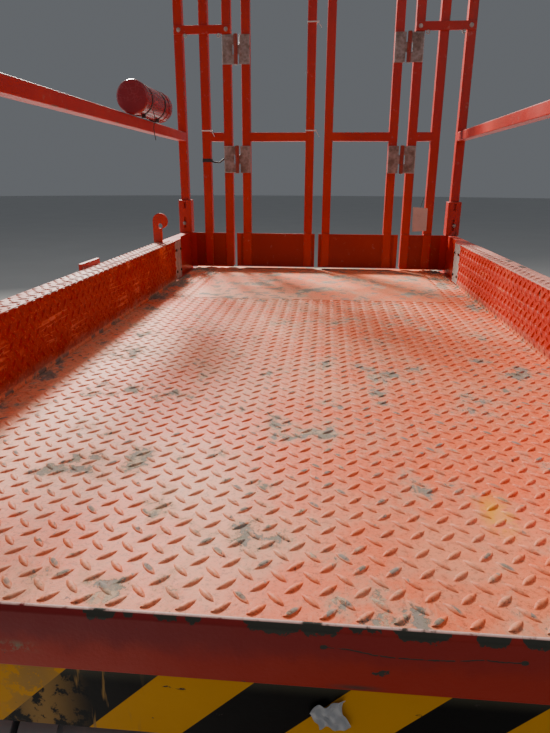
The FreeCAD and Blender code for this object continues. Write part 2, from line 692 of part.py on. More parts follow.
rod = fuse("rod_part", [
    round_bar("rod_bar", "y", S.rod_radius, rod_y, (0, 0)),
    round_bar("rod_eye", "x", S.eye_radius, (-S.eye_half, S.eye_half), (-cylinder_length, 0)),
])
place(rod, 0, base_at[0], base_at[1], (1, 0, 0), -cylinder_angle)
node("cylinder_rod", rod)

# Chassis: two long beams with round openings, cross members, axles, bumpers and lashing lugs
chassis_z = (chassis_low, chassis_top)
hole_z = (chassis_low + chassis_top) / 2
cross_out = half_chassis - S.member_set
beam_bar = block("chassis_beam_bar", beam_x, (-half_chassis, half_chassis), chassis_z)
beam = cut("chassis_beam_right", beam_bar, [
    round_bar(f"chassis_hole_{i}", "x", S.beam_hole, (beam_x[0] - 1, beam_x[1] + 1), (y, hole_z))
    for i, y in enumerate((-cross_out / 2, cross_out / 2))
])
chassis = [both_sides("chassis_beams", beam)]
for i, y in enumerate((-half_chassis, -cross_out, 0, cross_out, half_chassis - S.member_wide)):
    member_y = (size(y), size(y) + S.member_wide)
    chassis.append(block(f"chassis_cross_{i}", (-chassis_beam_x, chassis_beam_x), member_y, chassis_z))
node("chassis_frame", fuse("chassis_part", chassis))
bumper = half_inner + S.bumper_out
bumper_in = bumper - S.bumper_cut
bumper_low = chassis_low + S.bumper_lift
bumper_top = bumper_low + S.bumper_tall
node("bumper_near", plate("near_bumper_plate", "y", (
    (-bumper, bumper_low + S.bumper_cut), (-bumper_in, bumper_low), (bumper_in, bumper_low),
    (bumper, bumper_low + S.bumper_cut), (bumper, chassis_top), (-bumper, chassis_top),
), -half_chassis - S.bumper_plate, -half_chassis))
bumper_end = half_chassis + S.bumper_reach
node("bumper_far", plate("far_bumper_bar", "z", (
    (-bumper, half_chassis), (bumper, half_chassis), (bumper, bumper_end - S.bumper_cut),
    (bumper_in, bumper_end), (-bumper_in, bumper_end), (-bumper, bumper_end - S.bumper_cut),
), bumper_low, bumper_top))
axle_z = (S.wheel_radius - S.axle_deep / 2, S.wheel_radius + S.axle_deep / 2)
axle_span = (axle_y - S.axle_wide / 2, axle_y + S.axle_wide / 2)
boss_z = (S.wheel_radius - S.kingpin_half, S.wheel_radius + S.kingpin_half)
front_axle = cut("front_axle", fuse("front_axle_solid", [
    block("front_axle_beam", (beam_x[1], kingpin_x), axle_span, axle_z),
    round_bar("front_axle_boss", "z", S.kingpin_boss, boss_z, (kingpin_x, axle_y)),
]), [round_bar("front_axle_bore", "z", S.kingpin_radius + S.hinge_run, (boss_z[0] - 1, boss_z[1] + 1),
               (kingpin_x, axle_y))])
node("front_axle", both_sides("front_axles", front_axle))
wheel_inner = wheel_x - S.wheel_wide / 2
disc_inner = wheel_inner + S.recess_deep
motor_x = (wheel_inner - S.motor_reach, disc_inner - S.track_plate)
motor_at = (-axle_y, S.wheel_radius)
motor = fuse("drive_motor", [
    block("drive_mount", (beam_x[1], motor_x[0]), (-axle_y - S.axle_wide, -axle_y + S.axle_wide),
          (boss_z[0], boss_z[1])),
    round_bar("drive_housing", "x", S.motor_radius, motor_x, motor_at),
    round_bar("drive_flange", "x", S.motor_flange, (motor_x[0], motor_x[0] + S.knuckle_plate), motor_at),
    round_bar("drive_spindle", "x", S.spindle_radius, (motor_x[1], disc_inner + S.spindle_reach), motor_at),
])
node("drive_motors", both_sides("drive_motors_part", motor))
lug_x = (beam_x[0] + S.lug_plate * 2, beam_x[0] + S.lug_plate * 3)
lugs = []
for i, y in enumerate((-lug_y, lug_y)):
    lug = plate(f"lug_{i}", "x", (
        (y - S.lug_half, chassis_low), (y - S.lug_half, lug_z), (y - S.lug_rim, lug_z - S.lug_reach),
        (y + S.lug_rim, lug_z - S.lug_reach), (y + S.lug_half, lug_z), (y + S.lug_half, chassis_low),
    ), *lug_x)
    hole = round_bar(f"lug_hole_{i}", "x", S.lug_hole, beam_x, (y, lug_z))
    lugs.append(cut(f"lug_cut_{i}", lug, [hole]))
node("tie_down_lugs", both_sides("tie_down_lugs_part", fuse("lugs_right", lugs)))

# Knuckles, tie rod and wheels
def knuckle(name):
    """A C-shaped knuckle with its kingpin, wheel spindle and steering arm."""
    top = (boss_z[1] + S.knuckle_gap, boss_z[1] + S.knuckle_gap + S.knuckle_plate)
    low = (boss_z[0] - S.knuckle_gap - S.knuckle_plate, boss_z[0] - S.knuckle_gap)
    upright = disc_inner - S.knuckle_room
    arm_half = S.steer_eye + 2
    plate_x = (kingpin_x - S.axle_wide / 2, upright)
    corner = S.kingpin_radius / 2
    outline = (
        (plate_x[0], axle_span[0] + corner), (plate_x[0] + corner, axle_span[0]), (plate_x[1], axle_span[0]),
        (plate_x[1], axle_span[1]), (plate_x[0] + corner, axle_span[1]), (plate_x[0], axle_span[1] - corner),
    )
    web_y = (axle_y - S.knuckle_half, axle_y + S.knuckle_half)
    arm_y = (axle_y - S.steer_arm - S.steer_eye, axle_span[0])
    return fuse(name, [
        plate(f"{name}_top", "z", outline, *top),
        plate(f"{name}_low", "z", outline, *low),
        block(f"{name}_upright", (upright, upright + S.knuckle_web), web_y, (low[0], top[1])),
        round_bar(f"{name}_kingpin", "z", S.kingpin_radius, (low[1] - 2, top[0] + 2), (kingpin_x, axle_y)),
        round_bar(f"{name}_spindle", "x", S.spindle_radius, (upright, disc_inner + S.spindle_reach),
                  (axle_y, S.wheel_radius)),
        block(f"{name}_arm", (kingpin_x - arm_half, kingpin_x + arm_half), arm_y, low),
    ])


tray_knuckle = S.tray_hinge_radius - 3
tray_axis = (tray_outer - tray_knuckle, tray_half + tray_knuckle)
hinge_low = tray_hinge_z - S.tray_hinge_half
hinge_high = tray_hinge_z + S.tray_hinge_half
tray_pin_half = S.tray_hinge_half + S.tray_ear + S.pin_reach
tray_pin_z = (tray_hinge_z - tray_pin_half, tray_hinge_z + tray_pin_half)
outrigger = fuse("tray_outrigger", [
    block("outrigger_arm", (beam_x[1], tray_axis[0] - 2), (tray_axis[1] - 4, tray_axis[1] + 20),
          (hinge_low, hinge_high)),
    round_bar("outrigger_knuckle", "z", tray_knuckle, (hinge_low, hinge_high), tray_axis),
    round_bar("outrigger_pin", "z", S.tray_pin_radius, tray_pin_z, tray_axis),
])
node("tray_outriggers", both_sides("tray_outriggers_part", outrigger))
right_knuckle = knuckle("knuckle_solid")
node("knuckle_right", right_knuckle)
node("knuckle_left", mirrored("knuckle_left_part", right_knuckle))
link_top = boss_z[0] - S.knuckle_gap - S.knuckle_plate - S.box_gap
link_y = axle_y - S.steer_arm
link_eye_z = (link_top - S.steer_deep, link_top)
link_at = (link_y, link_top - S.steer_deep / 2)
link_eye = round_bar("steer_link_eye", "z", S.steer_eye, link_eye_z, (kingpin_x, link_y))
node("steer_link", fuse("steer_link_part", [
    round_bar("steer_link_bar", "x", S.steer_bar, (-kingpin_x, kingpin_x), link_at),
    both_sides("steer_link_eyes", link_eye),
]))

half_tyre = S.wheel_wide / 2
tyre_section = (
    (-half_tyre, S.rim_radius), (half_tyre, S.rim_radius), (half_tyre, S.wheel_radius - S.tyre_cut),
    (half_tyre - S.tyre_cut, S.wheel_radius), (-half_tyre + S.tyre_cut, S.wheel_radius),
    (-half_tyre, S.wheel_radius - S.tyre_cut),
)
hub_run = S.spindle_radius + S.hinge_run
disc_x = -half_tyre + S.recess_deep
rim_section = (
    (-half_tyre, S.recess_radius), (disc_x, S.recess_radius), (disc_x, hub_run),
    (half_tyre - S.track_plate, hub_run),
    (half_tyre - S.track_plate, S.hub_radius), (half_tyre - S.rim_dish, S.hub_radius + S.track_plate),
    (half_tyre - S.rim_dish, S.rim_radius - S.rim_lip - 2), (half_tyre, S.rim_radius - S.rim_lip),
    (half_tyre, S.rim_radius), (-half_tyre, S.rim_radius),
)
for label, sign, y in (
    ("near_right", 1, -axle_y),
    ("near_left", -1, -axle_y),
    ("far_right", 1, axle_y),
    ("far_left", -1, axle_y),
):
    for kind, section in (("tyre", tyre_section), ("rim", rim_section)):
        points = section if sign > 0 else tuple((-size(u), v) for u, v in section)
        piece = revolved(f"{kind}_{label}_body", points)
        place(piece, sign * wheel_x, y, S.wheel_radius)
        node(f"{kind}_{label}", piece)


# Side trays swing out on an upright hinge at their far end, one with the batteries
def tray_outline(inner_x, wall):
    """A tray's section, drawn in by a wall, with its two long outer edges cut at 45 degrees."""
    outer = tray_outer - wall
    low = tray_low + wall
    top = tray_top - wall
    grow = (root(size(2)) - 1) * wall - wall
    cut_low = S.tray_cut_low + grow
    cut_top = S.tray_cut_top + grow
    return (
        (inner_x, low), (outer - cut_low, low), (outer, low + cut_low),
        (outer, top - cut_top), (outer - cut_top, top), (inner_x, top),
    )


def tray(side):
    """One side's tray, open towards the chassis, and the closed unit that stands in it."""
    wall = S.tray_wall
    name = f"tray_{side}"
    outer = plate(f"{name}_outer", "y", tray_outline(tray_inner, size(0)), -tray_half, tray_half)
    room = tray_outline(tray_inner - 1, wall)
    inner = plate(f"{name}_inner", "y", room, -tray_half + wall, tray_half - wall)
    pieces = [cut(f"{name}_body", outer, [inner])]
    spans = (
        (hinge_low - S.tray_ear, hinge_low - S.roller_play),
        (hinge_high + S.roller_play, hinge_high + S.tray_ear),
    )
    for j, span in enumerate(spans):
        ear_x = (tray_axis[0] - S.tray_hinge_radius, tray_outer)
        pieces.append(round_bar(f"{name}_knuckle_{j}", "z", S.tray_hinge_radius, span, tray_axis))
        pieces.append(block(f"{name}_ear_{j}", ear_x, (tray_half - 2, tray_axis[1]), span))
    solid = fuse(f"{name}_solid", pieces)
    bore_z = (tray_pin_z[0] - 1, tray_pin_z[1] + 1)
    shell = cut(f"{name}_shell", solid, [
        round_bar(f"{name}_bore", "z", S.tray_pin_radius + S.hinge_run, bore_z, tray_axis)
    ])
    load_y = (-tray_half + S.load_near, tray_half - S.load_far)
    load_z = (tray_low + wall, tray_top - S.load_near)
    return shell, block(f"{name}_load", (tray_inner + wall * 5, tray_outer - S.load_side), load_y, load_z)


right_shell, right_load = tray("right")
left_shell, left_load = tray("left")
node("tray_right", right_shell)
node("battery_pack", right_load)
node("tray_left", mirrored("tray_left_part", left_shell))
node("hydraulic_unit", mirrored("hydraulic_unit_part", left_load))
guard_top = S.guard_low + S.guard_tall
guard_in = tray_outer - S.guard_wide
guard = plate("guard_right", "y", (
    (guard_in, S.guard_low), (tray_outer - S.guard_cut, S.guard_low),
    (tray_outer, S.guard_low + S.guard_cut), (tray_outer, guard_top), (guard_in, guard_top),
), -tray_half, tray_half)
arm_span = (-S.member_wide / 2, S.member_wide / 2)
arm_low = S.guard_low + S.guard_cut
guard_arm = block("guard_arm", (beam_x[0] + S.bracket_rim, guard_in), arm_span, (arm_low, guard_top - 5))
guard_foot = block("guard_foot", (beam_x[0] + 5, beam_x[1] - 5), arm_span, (arm_low, chassis_low))
pothole_guard = fuse("pothole_guard", [guard, guard_arm, guard_foot])
node("pothole_guards", both_sides("pothole_guards_part", pothole_guard))

# Ladder on the near end of the chassis: side plates with cut tops and channel rungs
ladder_y = (-half_chassis - S.bumper_reach, -half_chassis - S.bumper_plate)
ladder_half = half_inner - S.ladder_set
ladder_foot = chassis_low + S.ladder_lift
ladder_top = ladder_foot + S.ladder_tall
stringer = plate("ladder_stringer", "x", (
    (ladder_y[0], ladder_foot), (ladder_y[1], ladder_foot), (ladder_y[1], ladder_top),
    (ladder_y[0] + S.rung_lift, ladder_top), (ladder_y[0], ladder_top - S.rung_tall),
), ladder_half - S.stringer, ladder_half)
ladder = [both_sides("ladder_stringers", stringer)]
rung_count = int(S.ladder_tall.value // S.rung_pitch.value) + 1
for i in range(rung_count):
    low = ladder_foot + S.rung_lift + i * S.rung_pitch
    high = low + S.rung_tall
    wall = S.rung_wall
    ladder.append(plate(f"ladder_rung_{i}", "x", (
        (ladder_y[0], low), (ladder_y[0], high), (ladder_y[1], high), (ladder_y[1], low),
        (ladder_y[1] - wall, low), (ladder_y[1] - wall, high - wall), (ladder_y[0] + wall, high - wall),
        (ladder_y[0] + wall, low),
    ), -ladder_half + S.stringer, ladder_half - S.stringer))
node("ladder", fuse("ladder_part", ladder))


# Guard rails along the sides
mid_post_y = -half_deck + S.mid_post_set
for side in ("right", "left"):
    sign = 1 if side == "right" else -1
    x = (corner_x - half_tube, corner_x + half_tube)
    run_y = (-gate_y + half_tube, gate_y - half_tube)
    pieces = [
        tube(f"rail_{side}_top", x, run_y, (rail_high - S.tube, rail_high)),
        tube(f"rail_{side}_mid", x, run_y, around(deck + S.rail_mid)),
        tube(f"rail_{side}_post_low", x, around(mid_post_y), (flange_top, deck + S.rail_mid - half_tube)),
        tube(f"rail_{side}_post_high", x, around(mid_post_y),
             (deck + S.rail_mid + half_tube, rail_high - S.tube)),
    ]
    rail = fuse(f"rail_{side}_part", pieces)
    node(f"rail_{side}", rail if sign > 0 else mirrored(f"rail_{side}_mirror", rail))


# End panels: three posts a side, their kick plates, top rail, mid rail and the bolted flat bar
hinge_feet = (deck + S.rail_mid - S.hinge_low_drop, rail_high - S.hinge_high_drop)


def ordered(first, second):
    """Two limits, the lower one first."""
    return (first, second) if size(first).value < size(second).value else (second, first)


def socket(label, y, inward):
    """The sleeve that holds a corner post, with two upright slots in its inner face."""
    half = S.socket_wide / 2
    face = y + inward * half
    slots = []
    for j, (low, tall) in enumerate(((0.15, 0.33), (0.75, 0.2))):
        foot = flange_top + S.socket_tall * low
        slots.append(block(
            f"{label}_slot_{j}", (corner_x - S.slot_wide / 2, corner_x + S.slot_wide / 2),
            ordered(face + inward, face - inward * S.slot_deep), (foot, foot + S.socket_tall * tall),
        ))
    sleeve = block(f"{label}_sleeve", (corner_x - half, corner_x + half), (y - half, y + half),
                   (flange_top, flange_top + S.socket_tall))
    return cut(f"{label}_socket", sleeve, slots)


def far_corner(label, y):
    """Closes the deck between a toe wall and the far corner post: cap, wear plate, return and infill."""
    thick = S.infill_plate
    post_in = corner_x - half_tube
    wear_end = wall_far + S.infill_run
    cap_z = (flange_top - thick, flange_top)
    plate_z = (deck + S.kick_lift, flange_top - thick)
    cap_end = y + S.gate_set
    return [
        plate(f"{label}_cap", "z", (
            (half_inner, wall_far), (half_wide, wall_far), (half_wide, cap_end), (post_in, cap_end),
            (post_in, wear_end + S.infill_run), (half_inner, wear_end),
        ), *cap_z),
        block(f"{label}_wear", (half_inner, half_inner + thick), (wall_far, wear_end), plate_z),
        block(f"{label}_return", (half_inner, post_in + thick), (wear_end - thick, wear_end), plate_z),
        block(f"{label}_infill", (post_in, post_in + thick), (wear_end - thick, y - half_tube),
              (deck_under, flange_top - thick)),
        block(f"{label}_stub", around(corner_x), around(y), (deck_under, flange_top - thick)),
    ]


def end_panel(label, y, inward):
    """The fixed part of one end; inward is the direction to the middle of the deck."""
    span = around(y)
    inner_face = y + inward * half_tube
    kick = ordered(inner_face, inner_face - inward * S.kick_thick)
    bar_y = ordered(inner_face, inner_face + inward * S.cross_bar_thick)
    kick_edge = hinge_x + S.kick_gap * 1.5
    kick_end = corner_x - half_tube if inward < 0 else half_inner - 2
    rail_low = rail_high - S.tube
    post_foot = deck + S.kick_lift * 2
    across = (third_x - half_tube, corner_x + half_tube)
    bar_middle = rail_high - S.cross_bar_drop
    bar_z = (bar_middle - S.cross_bar_tall / 2, bar_middle + S.cross_bar_tall / 2)
    pieces = [
        tube(f"{label}_corner", around(corner_x), span, (flange_top, rail_low)),
        tube(f"{label}_second", around(second_x), span, (post_foot, rail_low)),
        tube(f"{label}_third", around(third_x), span, (post_foot, rail_low)),
        tube(f"{label}_top", across, span, (rail_low, rail_high)),
        tube(f"{label}_mid", (third_x + half_tube, second_x - half_tube), span,
             around(deck + S.rail_mid)),
        block(f"{label}_kick", (kick_edge, kick_end), kick, (deck + S.kick_lift, flange_top)),
        block(f"{label}_flat", across, bar_y, bar_z),
        socket(label, y, inward),
    ]
    if inward < 0:
        pieces += far_corner(label, y)
    axis_y = inner_face + inward * S.hinge_barrel
    plate_y = ordered(inner_face, inner_face + inward * S.hinge_thick)
    plate_x = hinge_x + S.hinge_barrel + S.hinge_gap
    third = S.hinge_tall / 3
    for j, low in enumerate(hinge_feet):
        full = (low, low + S.hinge_tall)
        axis = (hinge_x, axis_y)
        pieces.append(block(f"{label}_plate_{j}", (plate_x, plate_x + S.hinge_leaf), plate_y, full))
        pieces.append(round_bar(f"{label}_pin_{j}", "z", S.hinge_pin, full, axis))
        for k in (0, 2):
            height = (low + k * third, low + (k + 1) * third)
            pieces.append(round_bar(f"{label}_knuckle_{j}_{k}", "z", S.hinge_barrel, height, axis))
            pieces.append(block(f"{label}_tongue_{j}_{k}", (hinge_x, plate_x + 1), plate_y, height))
    return both_sides(f"{label}_part", fuse(f"{label}_right", pieces)), axis_y


def gate_leaf(label, inward):
    """A right-hand leaf, closed, drawn about its hinge axis."""
    inner_face = -inward * S.hinge_barrel
    span = ordered(inner_face, inner_face - inward * S.tube)
    kick = ordered(inner_face, inner_face - inward * S.kick_thick)
    plate_y = ordered(inner_face, inner_face + inward * S.hinge_thick)
    stile = stile_x - hinge_x
    free = S.free_x - hinge_x
    low = deck + S.leaf_lift
    rail_low = rail_high - S.tube
    plate_x = -S.hinge_barrel - S.hinge_gap
    third = S.hinge_tall / 3
    pieces = [
        tube(f"{label}_hinge_stile", around(stile), span, (low, rail_low)),
        tube(f"{label}_free_stile", around(free), span, (low, rail_low)),
        tube(f"{label}_top", (free - half_tube, stile + half_tube), span, (rail_low, rail_high)),
        tube(f"{label}_mid", (free + half_tube, stile - half_tube), span, around(deck + S.rail_mid)),
        block(f"{label}_kick", (S.kick_gap / 2 - hinge_x, S.hinge_barrel), kick, (low, flange_top)),
    ]
    bores = []
    for j, start in enumerate(hinge_feet):
        middle = (start + third + S.box_gap, start + 2 * third - S.box_gap)
        full = (start, start + S.hinge_tall)
        pieces.append(block(f"{label}_plate_{j}", (plate_x - S.hinge_leaf, plate_x), plate_y, full))
        pieces.append(block(f"{label}_tongue_{j}", (plate_x - 1, 0), plate_y, middle))
        pieces.append(round_bar(f"{label}_knuckle_{j}", "z", S.hinge_barrel, middle, (0, 0)))
        bores.append(round_bar(f"{label}_bore_{j}", "z", S.hinge_pin + S.hinge_run, full, (0, 0)))
    return cut(f"{label}_solid", fuse(f"{label}_frame", pieces), bores)


for end, y, inward in (("far", gate_y, -1), ("near", -gate_y, 1)):
    panel, axis_y = end_panel(f"{end}_panel", y, inward)
    node(f"{end}_panels", panel)
    open_by = S.near_gate_open if end == "near" else size(0)
    for side in ("right", "left"):
        leaf = gate_leaf(f"{end}_{side}_leaf", inward)
        if side == "left":
            leaf = mirrored(f"{end}_left_leaf_mirror", leaf)
        # A leaf swings in towards the deck: the far right one turns to the left seen from above
        turn = open_by * (-inward if side == "right" else inward)
        x = hinge_x if side == "right" else -hinge_x
        place(leaf, x, axis_y, 0, (0, 0, 1), turn)
        node(f"{end}_{side}_gate", leaf)

# Document canister strapped on the left mid rail
canister_z = deck + S.rail_mid + half_tube + S.canister_radius + S.box_gap
canister_at = (-half_inner - S.canister_out, canister_z)
canister_end = half_deck - S.canister_set + S.canister_length / 2
canister_y = (canister_end - S.canister_length, canister_end)
canister_foot_y = (canister_y[0], canister_y[0] + S.canister_foot)
canister_cap_y = (canister_y[1] - S.canister_cap, canister_y[1])
node("canister", fuse("canister_part", [
    round_bar("canister_body", "y", S.canister_radius - S.canister_step, canister_y, canister_at),
    round_bar("canister_foot_ring", "y", S.canister_radius, canister_foot_y, canister_at),
    round_bar("canister_cap_ring", "y", S.canister_radius, canister_cap_y, canister_at),
]))

# Control box hung on the right top rail by the near end, its panel sloped towards the deck
box_x = (corner_x - half_tube - S.box_wide, corner_x - half_tube - S.box_gap)
box_top = rail_high - S.box_drop
box_low = box_top - S.box_tall
box_y = -half_deck + S.box_set
node("control_box", plate("control_box_part", "y", (
    (box_x[0], box_low + S.box_cut), (box_x[0] + S.box_cut, box_low), (box_x[1], box_low),
    (box_x[1], box_top), (box_x[0] + S.box_slope, box_top), (box_x[0], box_top - S.box_slope),
), box_y - S.box_half, box_y + S.box_half))

doc.recompute()
faults = [o.Name for o in doc.Objects if "Invalid" in o.State or "Error" in o.State]
for name, item in nodes.items():
    shape = item.Shape
    if shape.isNull() or not shape.isValid() or not shape.Solids:
        faults.append(name)
if faults:
    sys.exit(f"these objects failed: {faults}")
os.makedirs("parts", exist_ok=True)
for name, item in nodes.items():
    item.Shape.exportStep(f"parts/{name}.step")
    print(f"{name}: {len(item.Shape.Solids)} solids")
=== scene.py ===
"""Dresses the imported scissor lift: tread plate, worn paint, gates, rails, stack, chassis and wheels."""
import json
import logging
import math
from dataclasses import dataclass, field
from enum import Enum
from functools import reduce
from typing import Callable, Iterable, Optional, Sequence

import bmesh
import bpy
from mathutils import Matrix, Vector


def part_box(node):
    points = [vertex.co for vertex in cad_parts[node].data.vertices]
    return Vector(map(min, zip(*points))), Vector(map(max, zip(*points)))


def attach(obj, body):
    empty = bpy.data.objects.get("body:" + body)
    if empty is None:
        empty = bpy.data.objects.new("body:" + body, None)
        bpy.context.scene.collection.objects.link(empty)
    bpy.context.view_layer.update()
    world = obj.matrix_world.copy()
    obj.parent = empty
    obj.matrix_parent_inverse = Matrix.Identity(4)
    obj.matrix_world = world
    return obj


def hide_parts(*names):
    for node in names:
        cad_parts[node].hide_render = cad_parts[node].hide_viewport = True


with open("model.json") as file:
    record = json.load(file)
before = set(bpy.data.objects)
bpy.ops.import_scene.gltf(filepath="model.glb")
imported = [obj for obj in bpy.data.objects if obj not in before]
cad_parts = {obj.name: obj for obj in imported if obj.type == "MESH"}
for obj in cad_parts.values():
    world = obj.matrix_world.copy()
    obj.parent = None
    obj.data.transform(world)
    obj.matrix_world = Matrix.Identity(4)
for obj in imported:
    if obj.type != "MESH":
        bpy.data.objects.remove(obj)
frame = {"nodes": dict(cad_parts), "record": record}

LOG = logging.getLogger("scissor_lift")
Point = tuple[float, float, float]
Pair = tuple[float, float]
Colour = tuple[float, float, float]
Grain = tuple[float, ...]
Socket = bpy.types.NodeSocket
Material = bpy.types.Material
Face = bmesh.types.BMFace
Edge = bmesh.types.BMEdge
Vert = bmesh.types.BMVert
Picker = Callable[[Vector, Vector], Optional[str]]

# The platform in metres: heights over the ground, places from the lift's middle, and its square tube
DECK = 1.300
HALF_DECK = 1.100
HALF_INNER = 0.540
FLANGE_EDGE = 0.600
FLANGE_TOP = 1.455
WALL_FAR = 0.675
GATE_Y = 1.066
HALF_TUBE = 0.0175
TUBE_WALL = 0.0030
TUBE_BORE = 2 * (HALF_TUBE - TUBE_WALL)
RAIL_TOP = 2.4175
MID_RAIL = 1.853
POST_Y = -0.650
CORNER_X = 0.5825
SECOND_X = 0.479
THIRD_X = 0.385
HINGE_X = 0.346
WEAR_LAYER = "edge"
SIDES = (1.0, -1.0)
NAMED_SIDES = ((1.0, "right"), (-1.0, "left"))


class Axis(Enum):
    """The three directions of the lift."""

    X = (1.0, 0.0, 0.0)
    Y = (0.0, 1.0, 0.0)
    Z = (0.0, 0.0, 1.0)

    @property
    def vector(self) -> Vector:
        """The direction as a vector."""
        return Vector(self.value)


# Materials


class NodeBook:
    """Adds nodes to one tree and joins their sockets."""

    def __init__(self, tree: bpy.types.NodeTree) -> None:
        """Args:
            tree: the tree of a material or of a group.
        """
        self.tree = tree

    def add(self, kind: str, **settings: object) -> bpy.types.Node:
        """Adds a node of Blender's name for its type and sets its properties."""
        node = self.tree.nodes.new(kind)
        for name, value in settings.items():
            setattr(node, name, value)
        return node

    def feed(self, socket: Socket, value: object) -> None:
        """Joins a socket to another, or gives it a plain value."""
        if isinstance(value, Socket):
            self.tree.links.new(value, socket)
        elif isinstance(value, tuple) and socket.type == "RGBA":
            socket.default_value = (*value[:3], 1.0)
        else:
            socket.default_value = value

    def maths(self, operation: str, first: object, second: object = 0.0, clamp: bool = False) -> Socket:
        """One sum on two values.

        Args:
            operation: the operation's name.
            first: a socket or a number.
            second: a socket or a number.
            clamp: keeps the result from 0 to 1.

        Returns:
            The result.
        """
        node = self.add("ShaderNodeMath", operation=operation, use_clamp=clamp)
        self.feed(node.inputs[0], first)
        self.feed(node.inputs[1], second)
        return node.outputs[0]

    def plus(self, first: object, second: object) -> Socket:
        """The sum of two values."""
        return self.maths("ADD", first, second)

    def minus(self, first: object, second: object) -> Socket:
        """The first value less the second."""
        return self.maths("SUBTRACT", first, second)

    def times(self, first: object, second: object) -> Socket:
        """The product of two values."""
        return self.maths("MULTIPLY", first, second)

    def most(self, *values: object) -> Socket:
        """The largest of several values."""
        return reduce(lambda first, second: self.maths("MAXIMUM", first, second), values)

    def gap(self, value: object, middle: object) -> Socket:
        """How far apart two values are."""
        return self.maths("ABSOLUTE", self.minus(value, middle))

    def blend(self, share: object, first: object, second: object) -> Socket:
        """Mixes two colours, from the first at 0 to the second at 1."""
        node = self.add("ShaderNodeMix", data_type="RGBA")
        self.feed(node.inputs[0], share)
        self.feed(node.inputs[6], first)
        self.feed(node.inputs[7], second)
        return node.outputs[2]

    def over(self, colour: object, top: object, mask: object, share: Optional[float] = None) -> Socket:
        """Lays a colour over another where a mask is 1, in full or by a share."""
        return self.blend(mask if share is None else self.times(mask, share), colour, top)

    def slide(self, share: object, first: float, second: float) -> Socket:
        """Mixes two numbers, from the first at 0 to the second at 1."""
        node = self.add("ShaderNodeMapRange", clamp=True)
        self.feed(node.inputs["Value"], share)
        self.feed(node.inputs["To Min"], first)
        self.feed(node.inputs["To Max"], second)
        return node.outputs["Result"]

    def step(self, value: object, low: object, high: object) -> Socket:
        """A smooth step: 0 up to low and 1 from high on, whichever of the two is larger."""
        node = self.add("ShaderNodeMapRange", interpolation_type="SMOOTHSTEP", clamp=True)
        self.feed(node.inputs["Value"], value)
        self.feed(node.inputs["From Min"], low)
        self.feed(node.inputs["From Max"], high)
        return node.outputs["Result"]

    def near(self, value: object, middle: float, reach: float) -> Socket:
        """A soft band round a value: 1 in its middle and 0 past its reach."""
        return self.step(self.gap(value, middle), reach, 0.0)

    def noise(self, vector: object, scale: object, detail: float = 4.0, rough: float = 0.55) -> Socket:
        """Soft random patches over a vector."""
        node = self.add("ShaderNodeTexNoise")
        self.feed(node.inputs["Vector"], vector)
        self.feed(node.inputs["Scale"], scale)
        self.feed(node.inputs["Detail"], detail)
        self.feed(node.inputs["Roughness"], rough)
        return node.outputs["Fac"]

    def cloud(self, vector: object, grain: Grain, low: float, high: float) -> Socket:
        """Patches of noise with soft sides.

        Args:
            vector: what the noise lies over.
            grain: the noise's scale, detail and roughness; the last may be left out.
            low: the noise where the mask is 0.
            high: the noise where the mask is 1.

        Returns:
            The mask.
        """
        return self.step(self.noise(vector, *grain), low, high)

    def cells(self, vector: object, scale: float) -> bpy.types.Node:
        """Random cells over a vector."""
        node = self.add("ShaderNodeTexVoronoi")
        self.feed(node.inputs["Vector"], vector)
        self.feed(node.inputs["Scale"], scale)
        return node

    def stretch(
        self, vector: object, scale: Point, turn: Point = (0.0, 0.0, 0.0), shift: Point = (0.0, 0.0, 0.0),
    ) -> Socket:
        """Scales, turns and shifts a vector."""
        node = self.add("ShaderNodeMapping")
        self.feed(node.inputs["Vector"], vector)
        self.feed(node.inputs["Scale"], scale)
        self.feed(node.inputs["Rotation"], turn)
        self.feed(node.inputs["Location"], shift)
        return node.outputs["Vector"]

    def split(self, vector: object) -> tuple[Socket, ...]:
        """The three parts of a vector."""
        node = self.add("ShaderNodeSeparateXYZ")
        self.feed(node.inputs[0], vector)
        return tuple(node.outputs[:3])

    def group(self, shared: bpy.types.NodeTree, **values: object) -> Socket:
        """Places a shared group with its own values and gives its first output."""
        node = self.add("ShaderNodeGroup", node_tree=shared)
        for name, value in values.items():
            self.feed(node.inputs[name], value)
        return node.outputs[0]

    def close(self, mask: Socket) -> bpy.types.NodeTree:
        """Puts a mask out of a group and gives the group."""
        self.feed(self.add("NodeGroupOutput").inputs["Mask"], mask)
        return self.tree


def new_group(name: str, *numbers: str) -> tuple[NodeBook, dict[str, Socket]]:
    """Starts a shared shader group that takes a vector and numbers, and puts out one mask.

    Args:
        name: the group's name.
        numbers: the name of each number.

    Returns:
        The group's book, and what the group is given by its names.
    """
    tree = bpy.data.node_groups.new(name, "ShaderNodeTree")
    tree.interface.new_socket(name="Vector", in_out="INPUT", socket_type="NodeSocketVector")
    for label in numbers:
        tree.interface.new_socket(name=label, in_out="INPUT", socket_type="NodeSocketFloat")
    tree.interface.new_socket(name="Mask", in_out="OUTPUT", socket_type="NodeSocketFloat")
    book = NodeBook(tree)
    return book, {socket.name: socket for socket in book.add("NodeGroupInput").outputs}


def worn_patches() -> bpy.types.NodeTree:
    """Patches where a noise passes a level, with soft sides."""
    book, given = new_group("worn_patches", "Scale", "Level", "Soft")
    fine = book.noise(given["Vector"], given["Scale"], 6.0, 0.62)
    low = book.minus(given["Level"], given["Soft"])
    high = book.plus(given["Level"], given["Soft"])
    return book.close(book.step(fine, low, high))


